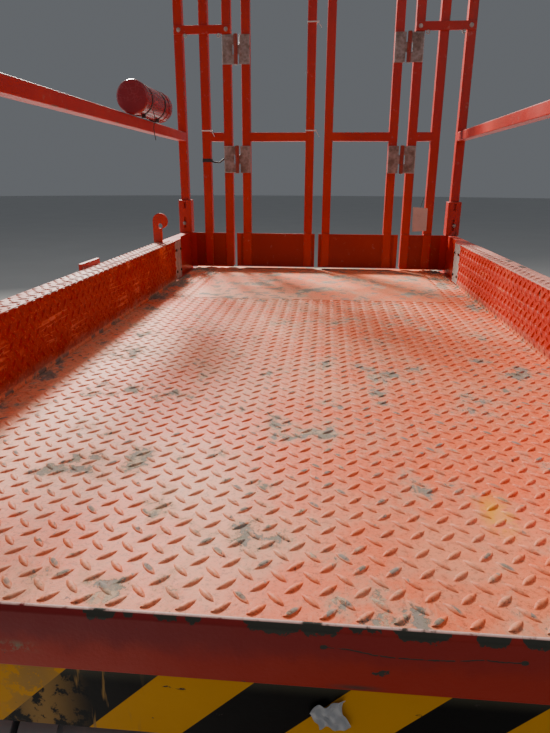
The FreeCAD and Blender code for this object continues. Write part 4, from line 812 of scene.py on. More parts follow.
@dataclass
class Form:
    """A piece under construction: a bmesh and the few forms that the lift is made of."""

    mesh: bmesh.types.BMesh = field(default_factory=bmesh.new)
    finishes: list[str] = field(default_factory=list)

    def __post_init__(self) -> None:
        """Adds the layer that marks rounded edges for wear."""
        self.edge_layer = self.mesh.loops.layers.float.new(WEAR_LAYER)

    def slot_of(self, name: str) -> int:
        """The place of a finish in the piece's material slots."""
        if name not in self.finishes:
            self.finishes.append(name)
        return self.finishes.index(name)

    def dress(self, faces: Iterable[Face], name: str) -> None:
        """Gives faces a finish and smooth shading."""
        index = self.slot_of(name)
        for face in faces:
            face.material_index = index
            face.smooth = True

    def soften(self, edges: Iterable[Edge], radius: float, steps: int = 2, clamp: bool = True) -> None:
        """Rounds edges and marks the new faces as worn edges."""
        edges = list(edges)
        if radius <= 0 or not edges:
            return
        made = bmesh.ops.bevel(
            self.mesh, geom=edges, offset=radius, offset_type="OFFSET", segments=steps, profile=0.5,
            affect="EDGES", clamp_overlap=clamp, material=-1, loop_slide=True,
        )
        for face in made["faces"]:
            face.smooth = True
            for loop in face.loops:
                loop[self.edge_layer] = 1.0

    def own(self, verts: Iterable[Vert], name: str) -> list[Face]:
        """Finds the faces of new vertices and dresses them."""
        faces = list({face for vert in verts for face in vert.link_faces})
        self.dress(faces, name)
        return faces

    def box(
        self, low: Point, high: Point, name: str,
        round_by: float = 0.0015, steps: int = 2, turn: Optional[Matrix] = None,
    ) -> None:
        """A block with rounded edges between two corners.

        Args:
            low: the lowest corner.
            high: the highest corner.
            name: the finish.
            round_by: the radius of its edges.
            steps: the facets of each rounded edge.
            turn: a matrix for the finished block.
        """
        size = Vector(high) - Vector(low)
        middle = (Vector(high) + Vector(low)) / 2
        place = Matrix.Translation(middle) @ Matrix.Diagonal((*size, 1.0))
        made = bmesh.ops.create_cube(self.mesh, size=1.0, matrix=place)
        if turn is not None:
            bmesh.ops.transform(self.mesh, matrix=turn, verts=made["verts"])
        faces = self.own(made["verts"], name)
        self.soften(edges_of(faces), min(round_by, min(abs(s) for s in size) * 0.45), steps)

    def rod(
        self, start: Point, end: Point, radius: float, name: str,
        steps: int = 24, round_by: float = 0.001, tip: Optional[float] = None,
    ) -> None:
        """A round bar between two points with rounded rims.

        Args:
            start: the middle of one end.
            end: the middle of the other end.
            radius: its radius.
            name: the finish.
            steps: the facets round it.
            round_by: the radius of its rims.
            tip: the radius at its end, if it tapers.
        """
        start_at, end_at = Vector(start), Vector(end)
        run = end_at - start_at
        turn = run.to_track_quat("Z", "Y").to_matrix().to_4x4()
        made = bmesh.ops.create_cone(
            self.mesh, cap_ends=True, segments=steps, radius1=radius, radius2=radius if tip is None else tip,
            depth=run.length, matrix=Matrix.Translation((start_at + end_at) / 2) @ turn,
        )
        faces = self.own(made["verts"], name)
        rims = [edge for edge in edges_of(faces) if any(len(face.verts) > 4 for face in edge.link_faces)]
        self.soften(rims, round_by, 1 if steps < 16 else 2)

    def lathe(self, points: Sequence[Pair], centre: Point, axis: Axis, name: str, steps: int = 32) -> None:
        """A ring or a turned part.

        Args:
            points: the section as (along the axis, radius); the first and last may lie on the axis.
            centre: where the section's zero lies.
            axis: the axis it is turned about.
            name: the finish.
            steps: the facets round it.
        """
        along = axis.vector
        across = Axis.Z.vector if axis is not Axis.Z else Axis.X.vector
        verts = [self.mesh.verts.new(Vector(centre) + along * a + across * r) for a, r in points]
        edges = [self.mesh.edges.new(pair) for pair in zip(verts, verts[1:])]
        closed = points[0][1] > 1e-6 and points[-1][1] > 1e-6
        if closed:
            edges.append(self.mesh.edges.new((verts[-1], verts[0])))
        made = bmesh.ops.spin(
            self.mesh, geom=verts + edges, cent=centre, axis=along, angle=math.tau,
            steps=steps, use_merge=True,
        )
        found = set(of_kind(made["geom_last"], Vert)) | set(verts)
        heap = list(found)
        while heap:
            for edge in heap.pop().link_edges:
                for vert in edge.verts:
                    if vert not in found:
                        found.add(vert)
                        heap.append(vert)
        bmesh.ops.remove_doubles(self.mesh, verts=list(found), dist=1e-5)
        faces = self.own([vert for vert in found if vert.is_valid], name)
        bmesh.ops.recalc_face_normals(self.mesh, faces=faces)

    def sheet(self, outline: Sequence[Point], thick: Vector, name: str, round_by: float = 0.0) -> None:
        """A flat plate from its outline.

        Args:
            outline: the corners in order.
            thick: the way and distance of its thickness.
            name: the finish.
            round_by: the radius of its edges.
        """
        verts = [self.mesh.verts.new(point) for point in outline]
        face = self.mesh.faces.new(verts)
        made = bmesh.ops.extrude_face_region(self.mesh, geom=[face])
        moved = of_kind(made["geom"], Vert)
        bmesh.ops.translate(self.mesh, vec=thick, verts=moved)
        faces = self.own(verts + moved, name)
        bmesh.ops.recalc_face_normals(self.mesh, faces=faces)
        if round_by > 0:
            self.soften([edge for edge in edges_of(faces) if edge.calc_face_angle(0.0) > 0.5], round_by, 1)

    def bolt(self, at: Point, axis: Vector, radius: float, name: str = "steel") -> None:
        """A hexagon head on a washer, standing out along an axis."""
        base, out = Vector(at), axis.normalized()
        self.rod(base, base + out * radius * 0.25, radius * 1.25, name, 14, 0.0004)
        self.rod(base + out * radius * 0.25, base + out * radius, radius, name, 6, radius * 0.12)

    def chain(self, spots: Sequence[Point], radius: float, name: str, steps: int, round_by: float) -> None:
        """Short rods from each point to the next, for a cord."""
        for start, end in zip(spots, spots[1:]):
            self.rod(start, end, radius, name, steps, round_by)

    def piece(
        self, name: str, body: str, slot: str, replaces: Sequence[str] = (), sharp: float = 40.0,
    ) -> None:
        """Turns the form into a finished piece that rides on a body.

        Args:
            name: the piece's name.
            body: the CAD body it moves with.
            slot: the record's material slot; not used.
            replaces: the CAD nodes it stands for.
            sharp: the angle in degrees past which an edge stays sharp.
        """
        data = bpy.data.meshes.new(name)
        self.mesh.to_mesh(data)
        self.mesh.free()
        data.set_sharp_from_angle(angle=math.radians(sharp))
        for label in self.finishes:
            data.materials.append(finish(label))
        item = bpy.data.objects.new(name, data)
        bpy.context.scene.collection.objects.link(item)
        even = item.modifiers.new("even_normals", "WEIGHTED_NORMAL")
        even.keep_sharp = True
        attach(item, body)
        if replaces:
            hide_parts(*replaces)
        LOG.info("%s: %d faces on %s", name, len(data.polygons), body)


BODY_OF = {node: body for body, nodes in frame["record"]["behaviour"]["bodies"].items() for node in nodes}
SLOT_OF = {part["node"]: part["material_slot"] for part in frame["record"]["subparts"]}
SHARP_TURN = 0.6
LONG_EDGE = 0.020
SHORT_EDGE = 0.006
SHORT_ROUND = 0.0008


def edge_loops(edges: Iterable[Edge]) -> list[set[Edge]]:
    """Sorts edges into the groups that hang together."""
    rest, loops = set(edges), []
    while rest:
        heap = [rest.pop()]
        loop = set(heap)
        while heap:
            for vert in heap.pop().verts:
                linked = rest.intersection(vert.link_edges)
                rest -= linked
                loop |= linked
                heap.extend(linked)
        loops.append(loop)
    return loops


def close_tubes(mesh: bmesh.types.BMesh) -> None:
    """Fills the open ends of square tubes and takes their hidden bores away."""
    mesh.normal_update()
    rims = [edge for edge in mesh.edges if abs(edge.calc_length() - TUBE_BORE) < 0.0003 and edge.is_convex]
    loops = [loop for loop in edge_loops(rims) if len(loop) == 4]
    bounds = {edge for loop in loops for edge in loop}
    inside: set[Face] = set()
    for loop in loops:
        first, second, third = list({vert for edge in loop for vert in edge.verts})[:3]
        normal = (second.co - first.co).cross(third.co - first.co).normalized()
        heap = [face for edge in loop for face in edge.link_faces if abs(face.normal.dot(normal)) < 0.5]
        while heap:
            face = heap.pop()
            if face not in inside:
                inside.add(face)
                heap.extend(other for edge in face.edges if edge not in bounds for other in edge.link_faces)
    if not inside or len(inside) > 0.7 * len(mesh.faces):
        return
    bmesh.ops.delete(mesh, geom=list(inside), context="FACES")
    bmesh.ops.holes_fill(mesh, edges=list(bounds), sides=4)
    bmesh.ops.recalc_face_normals(mesh, faces=mesh.faces)
    LOG.info("%d tube ends closed", len(loops))


def wide(face: Face, edge: Edge, least: float) -> bool:
    """True where a face is wide enough beside an edge."""
    return face.calc_area() / max(edge.calc_length(), 1e-6) > least


def can_round(edge: Edge, layer: bmesh.types.BMLayerItem, reach: float, length: float) -> bool:
    """True for a sharp outer edge that is long enough, not worn yet and has room on both sides."""
    if len(edge.link_faces) != 2 or not edge.is_convex or edge.calc_face_angle(0.0) < SHARP_TURN:
        return False
    if edge.calc_length() < length:
        return False
    if any(loop[layer] > 0.5 for face in edge.link_faces for loop in face.loops):
        return False
    return all(wide(face, edge, 2.4 * reach) for face in edge.link_faces)


def softened(node: str, name: str, radius: float = 0.003, pick: Optional[Picker] = None) -> Form:
    """A copy of a CAD node with rounded edges, ready for more forms.

    Args:
        node: the CAD node.
        name: its finish.
        radius: the radius of its long edges.
        pick: gives another finish for a face from its middle and normal.

    Returns:
        The form.
    """
    form = Form()
    mesh = form.mesh
    mesh.from_mesh(frame["nodes"][node].data)
    form.edge_layer = mesh.loops.layers.float.get(WEAR_LAYER) or mesh.loops.layers.float.new(WEAR_LAYER)
    bmesh.ops.remove_doubles(mesh, verts=mesh.verts, dist=0.00002)
    close_tubes(mesh)
    bmesh.ops.dissolve_limit(
        mesh, angle_limit=math.radians(1.0), use_dissolve_boundaries=False,
        verts=mesh.verts, edges=mesh.edges,
    )
    bmesh.ops.dissolve_degenerate(mesh, dist=0.00005, edges=mesh.edges)
    form.dress(mesh.faces, name)
    for reach, length in ((radius, LONG_EDGE), (SHORT_ROUND, SHORT_EDGE)):
        edges = [edge for edge in mesh.edges if can_round(edge, form.edge_layer, reach, length)]
        form.soften(edges, reach, 2 if reach > 0.0015 else 1, clamp=False)
    for face in mesh.faces if pick else ():
        other = pick(face.calc_center_median(), face.normal)
        if other:
            face.material_index = form.slot_of(other)
    return form


def dress_node(node: str, name: str) -> None:
    """Gives a CAD node that stays its finish through its material slots."""
    item = frame["nodes"][node]
    if not item.material_slots:
        item.data.materials.append(finish(name))
    for slot in item.material_slots:
        slot.material = finish(name)


# The lift


@dataclass
class TreadPlate:
    """The deck's raised lugs, its smooth far strip and the plate itself."""

    pitch: float = 0.0340
    length: float = 0.0275
    width: float = 0.0085
    height: float = 0.0027
    start: Pair = (-0.0165, -1.0935)
    margin: float = 0.008
    flange_lugs: tuple[Pair, Pair] = ((0.543, 0.593), (0.543, 0.575))
    strip: tuple[float, float, float, float] = (-0.400, 0.455, 0.360, 1.085)
    pad_strips: tuple[Pair, Pair] = ((0.107, 0.147), (0.226, 0.262))

    def _lug(self) -> bpy.types.Mesh:
        """One pointed lug on its side, closed underneath."""
        mesh = bmesh.new()
        spots = [-1.0, -0.72, -0.26, 0.26, 0.72, 1.0]
        half, side = self.length / 2, self.width / 2
        verts = [mesh.verts.new((share * half, 0.0, side * (1.0 - abs(share) ** 2.1))) for share in spots]
        edges = [mesh.edges.new(pair) for pair in zip(verts, verts[1:])]
        bmesh.ops.rotate(mesh, verts=verts, cent=(0, 0, 0), matrix=Matrix.Rotation(math.radians(90), 3, "X"))
        bmesh.ops.spin(mesh, geom=verts + edges, cent=(0, 0, 0), axis=(1, 0, 0), angle=math.pi, steps=3)
        bmesh.ops.remove_doubles(mesh, verts=mesh.verts, dist=1e-5)
        flat = self.height / (side * math.sin(math.radians(60)))
        bmesh.ops.scale(mesh, vec=(1.0, 1.0, flat), verts=mesh.verts)
        rim = [edge for edge in mesh.edges if edge.is_boundary]
        bmesh.ops.contextual_create(mesh, geom=rim)
        bmesh.ops.recalc_face_normals(mesh, faces=mesh.faces)
        if sum(v.co.z for v in mesh.verts) < 0:
            bmesh.ops.scale(mesh, vec=(1.0, 1.0, -1.0), verts=mesh.verts)
            bmesh.ops.reverse_faces(mesh, faces=mesh.faces)
        bmesh.ops.translate(mesh, vec=(0, 0, -0.0001), verts=mesh.verts)
        data = bpy.data.meshes.new("lug")
        mesh.to_mesh(data)
        mesh.free()
        return data

    def _first(self, axis: int, low: float, shift: float) -> float:
        """The lattice's first place along X or Y past a side, less a margin."""
        start = self.start[axis] + shift
        return start + math.ceil((low - start - self.margin) / self.pitch) * self.pitch

    def _field(self, low: Pair, high: Pair) -> bmesh.types.BMesh:
        """Rows of lugs over a flat rectangle, on one lattice, trimmed at its sides.

        Args:
            low: the lowest X and Y.
            high: the highest X and Y.

        Returns:
            The lugs, drawn over Z = 0.
        """
        lug = self._lug()
        out = bmesh.new()
        for angle, shift in ((45.0, 0.0), (-45.0, self.pitch / 2)):
            first = [self._first(axis, low[axis], shift) for axis in (0, 1)]
            counts = [int((high[axis] + self.margin - first[axis]) / self.pitch) + 1 for axis in (0, 1)]
            if min(counts) < 1:
                continue
            data = lug.copy()
            data.transform(Matrix.Translation((*first, 0.0)) @ Matrix.Rotation(math.radians(angle), 4, "Z"))
            item = bpy.data.objects.new("lug_rows", data)
            bpy.context.scene.collection.objects.link(item)
            for count, way in zip(counts, ((self.pitch, 0.0, 0.0), (0.0, self.pitch, 0.0))):
                rows = item.modifiers.new("rows", "ARRAY")
                rows.count = count
                rows.use_relative_offset = False
                rows.use_constant_offset = True
                rows.constant_offset_displace = way
            graph = bpy.context.evaluated_depsgraph_get()
            made = bpy.data.meshes.new_from_object(item.evaluated_get(graph))
            out.from_mesh(made)
            bpy.data.objects.remove(item)
            bpy.data.meshes.remove(made)
        for spot, way in (
            ((low[0], 0, 0), (-1, 0, 0)), ((high[0], 0, 0), (1, 0, 0)),
            ((0, low[1], 0), (0, -1, 0)), ((0, high[1], 0), (0, 1, 0)),
        ):
            cut = bmesh.ops.bisect_plane(
                out, geom=out.verts[:] + out.edges[:] + out.faces[:], dist=1e-6,
                plane_co=spot, plane_no=way, clear_outer=True,
            )
            bmesh.ops.holes_fill(out, edges=of_kind(cut["geom_cut"], Edge), sides=0)
        return out

    def _lay(self, name: str, parts: Iterable[tuple[Pair, Pair, Matrix]]) -> None:
        """Lays fields of lugs by their matrices and makes them one piece."""
        form = Form()
        for low, high, where in parts:
            rows = self._field(low, high)
            rows.transform(where)
            data = bpy.data.meshes.new("rows")
            rows.to_mesh(data)
            rows.free()
            form.mesh.from_mesh(data)
            bpy.data.meshes.remove(data)
        form.dress(form.mesh.faces, "tread")
        bmesh.ops.recalc_face_normals(form.mesh, faces=form.mesh.faces)
        form.piece(name, "platform", "deck_paint", sharp=60.0)

    @staticmethod
    def _pick(middle: Vector, _normal: Vector) -> Optional[str]:
        """The finish of the folded lip and of the plates that stand on the left flange."""
        if middle.y < -HALF_DECK - 0.0004 and middle.z < DECK + 0.001:
            return "lip"
        return "red" if middle.z > FLANGE_TOP + 0.0006 or abs(middle.x) > FLANGE_EDGE + 0.0005 else None

    def build(self) -> None:
        """Makes the plate, its lugs and the smooth strip."""
        flat = Matrix.Translation((0, 0, DECK))
        left, right, near, far = self.strip
        edge = HALF_INNER - 0.0005
        self._lay("deck_lugs", [
            ((-edge, -HALF_DECK + 0.0005), (edge, near), flat),
            ((-edge, near), (left, HALF_DECK - 0.03), flat),
            ((right, near), (edge, HALF_DECK - 0.03), flat),
        ])
        parts = []
        for side in SIDES:
            upright = Matrix(((0, 0, -side, 0), (0, 1, 0, 0), (1, 0, 0, DECK), (0, 0, 0, 1)))
            wall = Matrix.Translation((side * HALF_INNER, 0, 0)) @ upright
            parts.append(((0.003, -HALF_DECK + 0.0005), (0.153, WALL_FAR - 0.001), wall))
            first, last = sorted(side * x for x in self.flange_lugs[side > 0])
            flange = Matrix.Translation((0, 0, FLANGE_TOP))
            parts.append(((first, -HALF_DECK + 0.001), (last, WALL_FAR - 0.002), flange))
        self._lay("wall_lugs", parts)
        form = softened("deck", "tread", 0.0016, self._pick)
        for low, high in self.pad_strips:
            form.box((0.581, low, FLANGE_TOP - 0.001), (0.595, high, FLANGE_TOP + 0.0004), "boot", 0.0003, 1)
        form.piece("deck_plate", "platform", "deck_paint", ["deck"])
        patch = Form()
        patch.box((left, near, DECK - 0.0005), (right, far - 0.06, DECK + 0.0019), "tread", 0.0008, 1)
        patch.piece("smooth_strip", "platform", "deck_paint")


@dataclass
class NearEnd:
    """What the near beam carries under the folded lip: the hazard band, a loose flap and torn tape."""

    face: float = -HALF_DECK
    lip_face: float = -HALF_DECK - 0.010
    lip_low: float = 1.2270
    band_low: float = 1.1450
    half: float = FLANGE_EDGE - 0.001

    def build(self) -> None:
        """Makes the band and what hangs on it."""
        band = Form()
        corners = (
            (-self.half, self.band_low), (self.half, self.band_low),
            (self.half, self.lip_low), (-self.half, self.lip_low),
        )
        band.sheet([(x, self.face, z) for x, z in corners], Vector((0, -0.0025, 0)), "hazard", 0.0006)
        band.piece("hazard_plate", "platform", "deck_paint", sharp=50.0)
        torn = Form()
        self._flap(torn, (0.0450, 1.2160), 0.0135, self.lip_face - 0.0002, "rust")
        self._flap(torn, (0.0445, 1.2165), 0.0118, self.lip_face - 0.0008, "red")
        self._tape(torn)
        torn.piece("torn_tape", "platform", "grey_plastic", sharp=60.0)

    def _flap(self, form: Form, centre: Pair, radius: float, y: float, name: str) -> None:
        """A loose round flap, a little wider at its foot."""
        corners = []
        for step in range(14):
            angle = math.tau * step / 14
            wide = radius * (1.0 + 0.12 * math.sin(3.0 * angle))
            corners.append((centre[0] + wide * math.cos(angle), y, centre[1] + wide * 1.1 * math.sin(angle)))
        form.sheet(corners, Vector((0, -0.0006, 0)), name)

    def _tape(self, form: Form) -> None:
        """The crumpled tape that hangs at the middle of the band."""
        bmesh.ops.create_grid(form.mesh, x_segments=14, y_segments=14, size=0.5)
        for vert in form.mesh.verts:
            across, down = vert.co.x + 0.5, 0.5 - vert.co.y
            x = 0.040 + 0.031 * across - 0.004 * math.sin(5.0 * down) + 0.003 * down
            z = 1.211 - 0.036 * down - 0.012 * (1.0 - across) * (1.0 - down) + 0.002 * math.sin(9.0 * across)
            crumple = math.sin(13.0 * across + 4.0 * down) * math.sin(11.0 * down - 3.0 * across)
            vert.co = (x, self.face - 0.0062 - 0.0026 * crumple, z)
        form.own([vert for vert in form.mesh.verts if vert.co.y > self.lip_face], "tape")
        sheet = []
        for face in form.mesh.faces:
            if len(face.verts) == 4 and all(vert.co.y > self.lip_face + 0.0001 for vert in face.verts):
                sheet.append(face)
        bmesh.ops.solidify(form.mesh, geom=sheet, thickness=0.0006)


@dataclass
class Rails:
    """Posts, panels, gates and rails, with their hinges, bolts, ties and tag."""

    hinge_feet: Pair = (DECK + 0.409, DECK + 0.828)
    hinge_tall: float = 0.108
    inner_face: float = GATE_Y - HALF_TUBE
    barrel: float = 0.008
    near_open: float = 120.0
    flat_bar: float = DECK + 0.955
    stiles: Pair = (0.039, 0.307)
    leaf_kicks: tuple[Pair, ...] = ((0.0105, 0.0205), (0.0575, 0.2885), (0.3265, 0.3375))
    fixed_kicks: tuple[Pair, ...] = ((0.4035, 0.4605), (0.4975, 0.5370))
    strap_low: float = 1.752
    strap_high: float = 1.760
    tag: tuple[Pair, ...] = ((0.408, 1.573), (0.470, 1.568), (0.4725, 1.474), (0.412, 1.470))

    def _pick(self, back: Optional[Matrix], end: float) -> Picker:
        """A test that finds the faces of the hinges and of the wear plates.

        Args:
            back: brings a swung leaf back to where it is shut.
            end: 1 at the far end, -1 at the near end.
        """
        def pick(middle: Vector, _normal: Vector) -> Optional[str]:
            spot = back @ middle if back else middle
            wide = abs(spot.x)
            by_wall = HALF_INNER - 0.001 < wide < HALF_INNER + 0.0065
            if by_wall and end * spot.y < WALL_FAR + 0.096 and spot.z < FLANGE_TOP - 0.006:
                return "galvanised"
            high = any(foot - 0.001 < spot.z < foot + self.hinge_tall + 0.001 for foot in self.hinge_feet)
            inside = end * spot.y < self.inner_face - 0.0004
            if high and inside and abs(wide - HINGE_X) < 0.058:
                return "knuckle" if abs(wide - HINGE_X) < 0.0095 and end > 0 else "zinc"
            return None
        return pick

    def _hinge_trim(self, form: Form, side: float, end: float, which: str) -> None:
        """Small bolt heads on a hinge's plates and the heads of its pin.

        Args:
            form: the piece they belong to.
            side: 1 for the right leaf.
            end: 1 at the far end.
            which: post or leaf.
        """
        out = Vector((0, -end, 0))
        face = end * (self.inner_face - 0.005)
        across = 0.037 if which == "post" else -0.037
        for foot in self.hinge_feet:
            for up in (0.018, 0.090):
                form.bolt((side * (HINGE_X + across), face, foot + up), out, 0.0030, "zinc")
            if which == "post":
                axis_y = end * (self.inner_face - self.barrel)
                for tip, way in ((foot + self.hinge_tall, 1), (foot, -1)):
                    start = (side * HINGE_X, axis_y, tip - way * 0.001)
                    form.rod(start, (*start[:2], tip + way * 0.003), 0.0066, "zinc", 16, 0.0012)

    def build(self) -> None:
        """Makes the two ends, the four leaves and the side rails."""
        for end, label in ((1.0, "far"), (-1.0, "near")):
            form = softened(f"{label}_panels", "red", 0.0032, self._pick(None, end))
            for side in SIDES:
                self._hinge_trim(form, side, end, "post")
                for x in (SECOND_X, THIRD_X):
                    self._over_kick(form, side * x, end)
                for left, right in self.fixed_kicks:
                    self._kick_face(form, side * left, side * right, end)
                self._post_trim(form, side, end)
                if end > 0:
                    self._wear_bolts(form, side)
            form.piece(f"{label}_end_panels", "platform", "red_paint", [f"{label}_panels"])
            for side, name in NAMED_SIDES:
                self._leaf(label, name, side, end)
        for side, name in NAMED_SIDES:
            form = softened(f"rail_{name}", "red", 0.0032)
            self._rail_trim(form, side)
            form.piece(f"{name}_rails", "platform", "red_paint", [f"rail_{name}"])
        self._loose()

    def _leaf(self, label: str, name: str, side: float, end: float) -> None:
        """One gate leaf with its hinge trim and bolts, drawn shut and then swung."""
        axis = Vector((side * HINGE_X, end * (self.inner_face - self.barrel), 0))
        angle = 0.0 if end > 0 else -math.radians(self.near_open) * side
        swing = Matrix.Translation(axis) @ Matrix.Rotation(angle, 4, "Z") @ Matrix.Translation(-axis)
        form = softened(f"{label}_{name}_gate", "red", 0.0032, self._pick(swing.inverted(), end))
        form.mesh.transform(swing.inverted())
        self._hinge_trim(form, side, end, "leaf")
        for x in self.stiles:
            self._over_kick(form, side * x, end)
        for left, right in self.leaf_kicks:
            self._kick_face(form, side * left, side * right, end)
        inner = end * self.inner_face
        out = Vector((0, -end, 0))
        for up in (0.0, 0.221, 0.440):
            form.bolt((side * 0.307, inner + end * 0.0352, DECK + 0.17 + up), -out, 0.0045, "steel")
        for x in (0.090, 0.240):
            form.bolt((side * x, inner + end * 0.0035, DECK + 0.13), -out, 0.0045, "steel")
        form.mesh.transform(swing)
        form.piece(f"{label}_{name}_leaf", f"{label}_{name}_gate", "red_paint", [f"{label}_{name}_gate"])

    def _over_kick(self, form: Form, x: float, end: float) -> None:
        """The foot of an upright, which stands proud of the kick plate behind it."""
        near, far = sorted((end * (self.inner_face + 0.004), end * (self.inner_face - 0.0035)))
        low = (x - HALF_TUBE, near, DECK + 0.012)
        form.box(low, (x + HALF_TUBE, far, FLANGE_TOP + 0.004), "red", 0.0022)

    def _kick_face(self, form: Form, start: float, stop: float, end: float) -> None:
        """Painted shade on a kick plate between two uprights: a darker red for the shade behind the tubes."""
        near, far = sorted((end * (self.inner_face + 0.002), end * (self.inner_face - 0.0004)))
        left, right = sorted((start, stop))
        form.box((left, near, DECK + 0.012), (right, far, FLANGE_TOP - 0.002), "kick", 0.0002, 1)

    def _wear_bolts(self, form: Form, side: float) -> None:
        """Dark bolts on the galvanised plate at the far end of a toe wall."""
        for z in (DECK + 0.035, DECK + 0.118):
            for y in (WALL_FAR + 0.014, WALL_FAR + 0.080):
                form.bolt((side * HALF_INNER, y, z), Vector((-side, 0, 0)), 0.0045, "rust")

    def _post_trim(self, form: Form, side: float, end: float) -> None:
        """Bolts of the flat bar with the eyes under its ends, and the pins of the socket."""
        inner = end * (self.inner_face - 0.0055)
        out = Vector((0, -end, 0))
        for x in (CORNER_X - 0.004, THIRD_X):
            form.bolt((side * x, inner, self.flat_bar), out, 0.0068, "galvanised")
        ring = ((-0.0022, 0.0042), (0.0022, 0.0042), (0.0022, 0.0078), (-0.0022, 0.0078))
        for x in (CORNER_X - 0.030, THIRD_X + 0.030):
            form.lathe(ring, (side * x, inner, self.flat_bar - 0.022), Axis.Y, "galvanised", 20)
        socket = end * (GATE_Y - 0.0275)
        form.bolt((side * (CORNER_X + 0.004), socket, FLANGE_TOP + 0.042), out, 0.0060, "zinc")
        for x in (SECOND_X, THIRD_X):
            form.bolt((side * x, end * (GATE_Y + HALF_TUBE), DECK + 0.080), -out, 0.005, "steel")

    def _rail_trim(self, form: Form, side: float) -> None:
        """The foot collar of the intermediate post and the bolts of the rails."""
        inner = side * (CORNER_X - HALF_TUBE)
        out = Vector((-side, 0, 0))
        for z in (FLANGE_TOP + 0.030, MID_RAIL, RAIL_TOP - HALF_TUBE):
            form.bolt((inner, POST_Y, z), out, 0.0050, "zinc")
        low, high = sorted((side * (CORNER_X - HALF_TUBE - 0.004), side * (CORNER_X + HALF_TUBE)))
        reach = HALF_TUBE + 0.004
        form.box((low, POST_Y - reach, FLANGE_TOP), (high, POST_Y + reach, FLANGE_TOP + 0.060), "red", 0.0015)

    def _loose(self) -> None:
        """Nylon ties, the black strap and the blank tag on the far end."""
        reach = HALF_TUBE + 0.0012
        leaf = Form()
        for z in (DECK + 0.975, DECK + 0.575):
            self._tie(leaf, -0.039, z, reach)
        leaf.piece("gate_ties", "far_left_gate", "grey_plastic")
        post = Form()
        self._tie(post, -SECOND_X, DECK + 0.575, reach)
        self._band(post, -SECOND_X, self.strap_low, reach, 0.014, "strap")
        self._band(post, -THIRD_X, self.strap_high, reach, 0.010, "strap")
        slack = (
            (-SECOND_X + HALF_TUBE, self.strap_high), (-0.450, self.strap_low),
            (-0.425, 1.750), (-THIRD_X - HALF_TUBE, 1.766),
        )
        post.chain([(x, GATE_Y - 0.016, z) for x, z in slack], 0.0030, "strap", 10, 0.0006)
        face = self.inner_face - 0.0015
        corners = [(x, face - 0.006 * (step % 2), z) for step, (x, z) in enumerate(self.tag)]
        post.sheet(corners, Vector((0, -0.0006, 0)), "paper")
        cord = ((0.440, self.inner_face - 0.003, 1.568), (0.452, self.inner_face + 0.001, 1.612))
        post.rod(*cord, 0.0009, "strap", 8, 0.0002)
        post.piece("post_ties_and_tag", "platform", "grey_plastic")

    def _tie(self, form: Form, x: float, z: float, reach: float) -> None:
        """A white nylon tie with its head and its loose end."""
        self._band(form, x, z, reach, 0.0050, "tie")
        x, y = x + reach, GATE_Y - reach
        form.box((x - 0.001, y - 0.001, z - 0.001), (x + 0.009, y + 0.004, z + 0.006), "tie", 0.0006, 1)
        tail = ((x + 0.004, y + 0.001, z + 0.003), (x + 0.020, y - 0.010, z - 0.022))
        form.rod(*tail, 0.0013, "tie", 8, 0.0003)

    def _band(self, form: Form, x: float, z: float, reach: float, tall: float, name: str) -> None:
        """A thin band round a square tube."""
        thick, y = 0.0013, GATE_Y
        for low, high in (
            ((x - reach, y - reach, z), (x + reach, y - reach + thick, z + tall)),
            ((x - reach, y + reach - thick, z), (x + reach, y + reach, z + tall)),
            ((x - reach, y - reach, z), (x - reach + thick, y + reach, z + tall)),
            ((x + reach - thick, y - reach, z), (x + reach, y + reach, z + tall)),
        ):
            form.box(low, high, name, 0.0004, 1)


@dataclass
class Canister:
    """The round document canister on the left mid rail, with its caps, straps and loose string."""

    x: float = -0.560
    y: float = 0.480
    z: float = 1.9208
    radius: float = 0.050
    length: float = 0.300
    string_y: float = -0.095
    string: tuple[Pair, ...] = ((0.046, -0.030), (0.052, -0.052), (0.046, -0.085), (0.051, -0.120))

    def build(self) -> None:
        """Makes the canister."""
        form = Form()
        half, r = self.length / 2, self.radius
        section = (
            (-half, 0.0), (-half, 0.043), (-half + 0.0015, 0.0478), (-half + 0.004, r - 0.0003),
            (-half + 0.0105, r), (-half + 0.012, 0.0482), (half - 0.050, 0.0480), (half - 0.048, 0.0478),
            (half - 0.0465, r), (half - 0.012, r), (half - 0.005, 0.047), (half - 0.002, 0.040),
            (half - 0.0015, 0.018), (half, 0.016), (half, 0.0),
        )
        form.lathe(section, (self.x, self.y, self.z), Axis.Y, "canister", 56)
        for step in range(24):
            angle = math.tau * step / 24
            across, up = math.cos(angle) * (r - 0.0006), math.sin(angle) * (r - 0.0006)
            spot = Vector((self.x + across, self.y + half - 0.029, self.z + up))
            turn = Matrix.Translation(spot) @ Matrix.Rotation(-angle, 4, "Y")
            form.box((-0.0006, -0.013, -0.0022), (0.0006, 0.013, 0.0022), "canister", 0.0004, 1, turn)
        band = ((-0.005, 0.0478), (0.005, 0.0478), (0.005, 0.0492), (-0.005, 0.0492))
        for y in (self.y + self.string_y, self.y + 0.055):
            form.lathe(band, (self.x, y, self.z), Axis.Y, "strap", 40)
            low = (self.x + 0.012, y - 0.007, self.z - 0.055)
            form.box(low, (self.x + 0.022, y + 0.007, self.z - 0.044), "strap", 0.001)
        spots = [(self.x + out, self.y + self.string_y, self.z + down) for out, down in self.string]
        form.chain(spots, 0.0012, "strap", 8, 0.0003)
        form.piece("document_canister", "platform", "red_plastic", ["canister"])


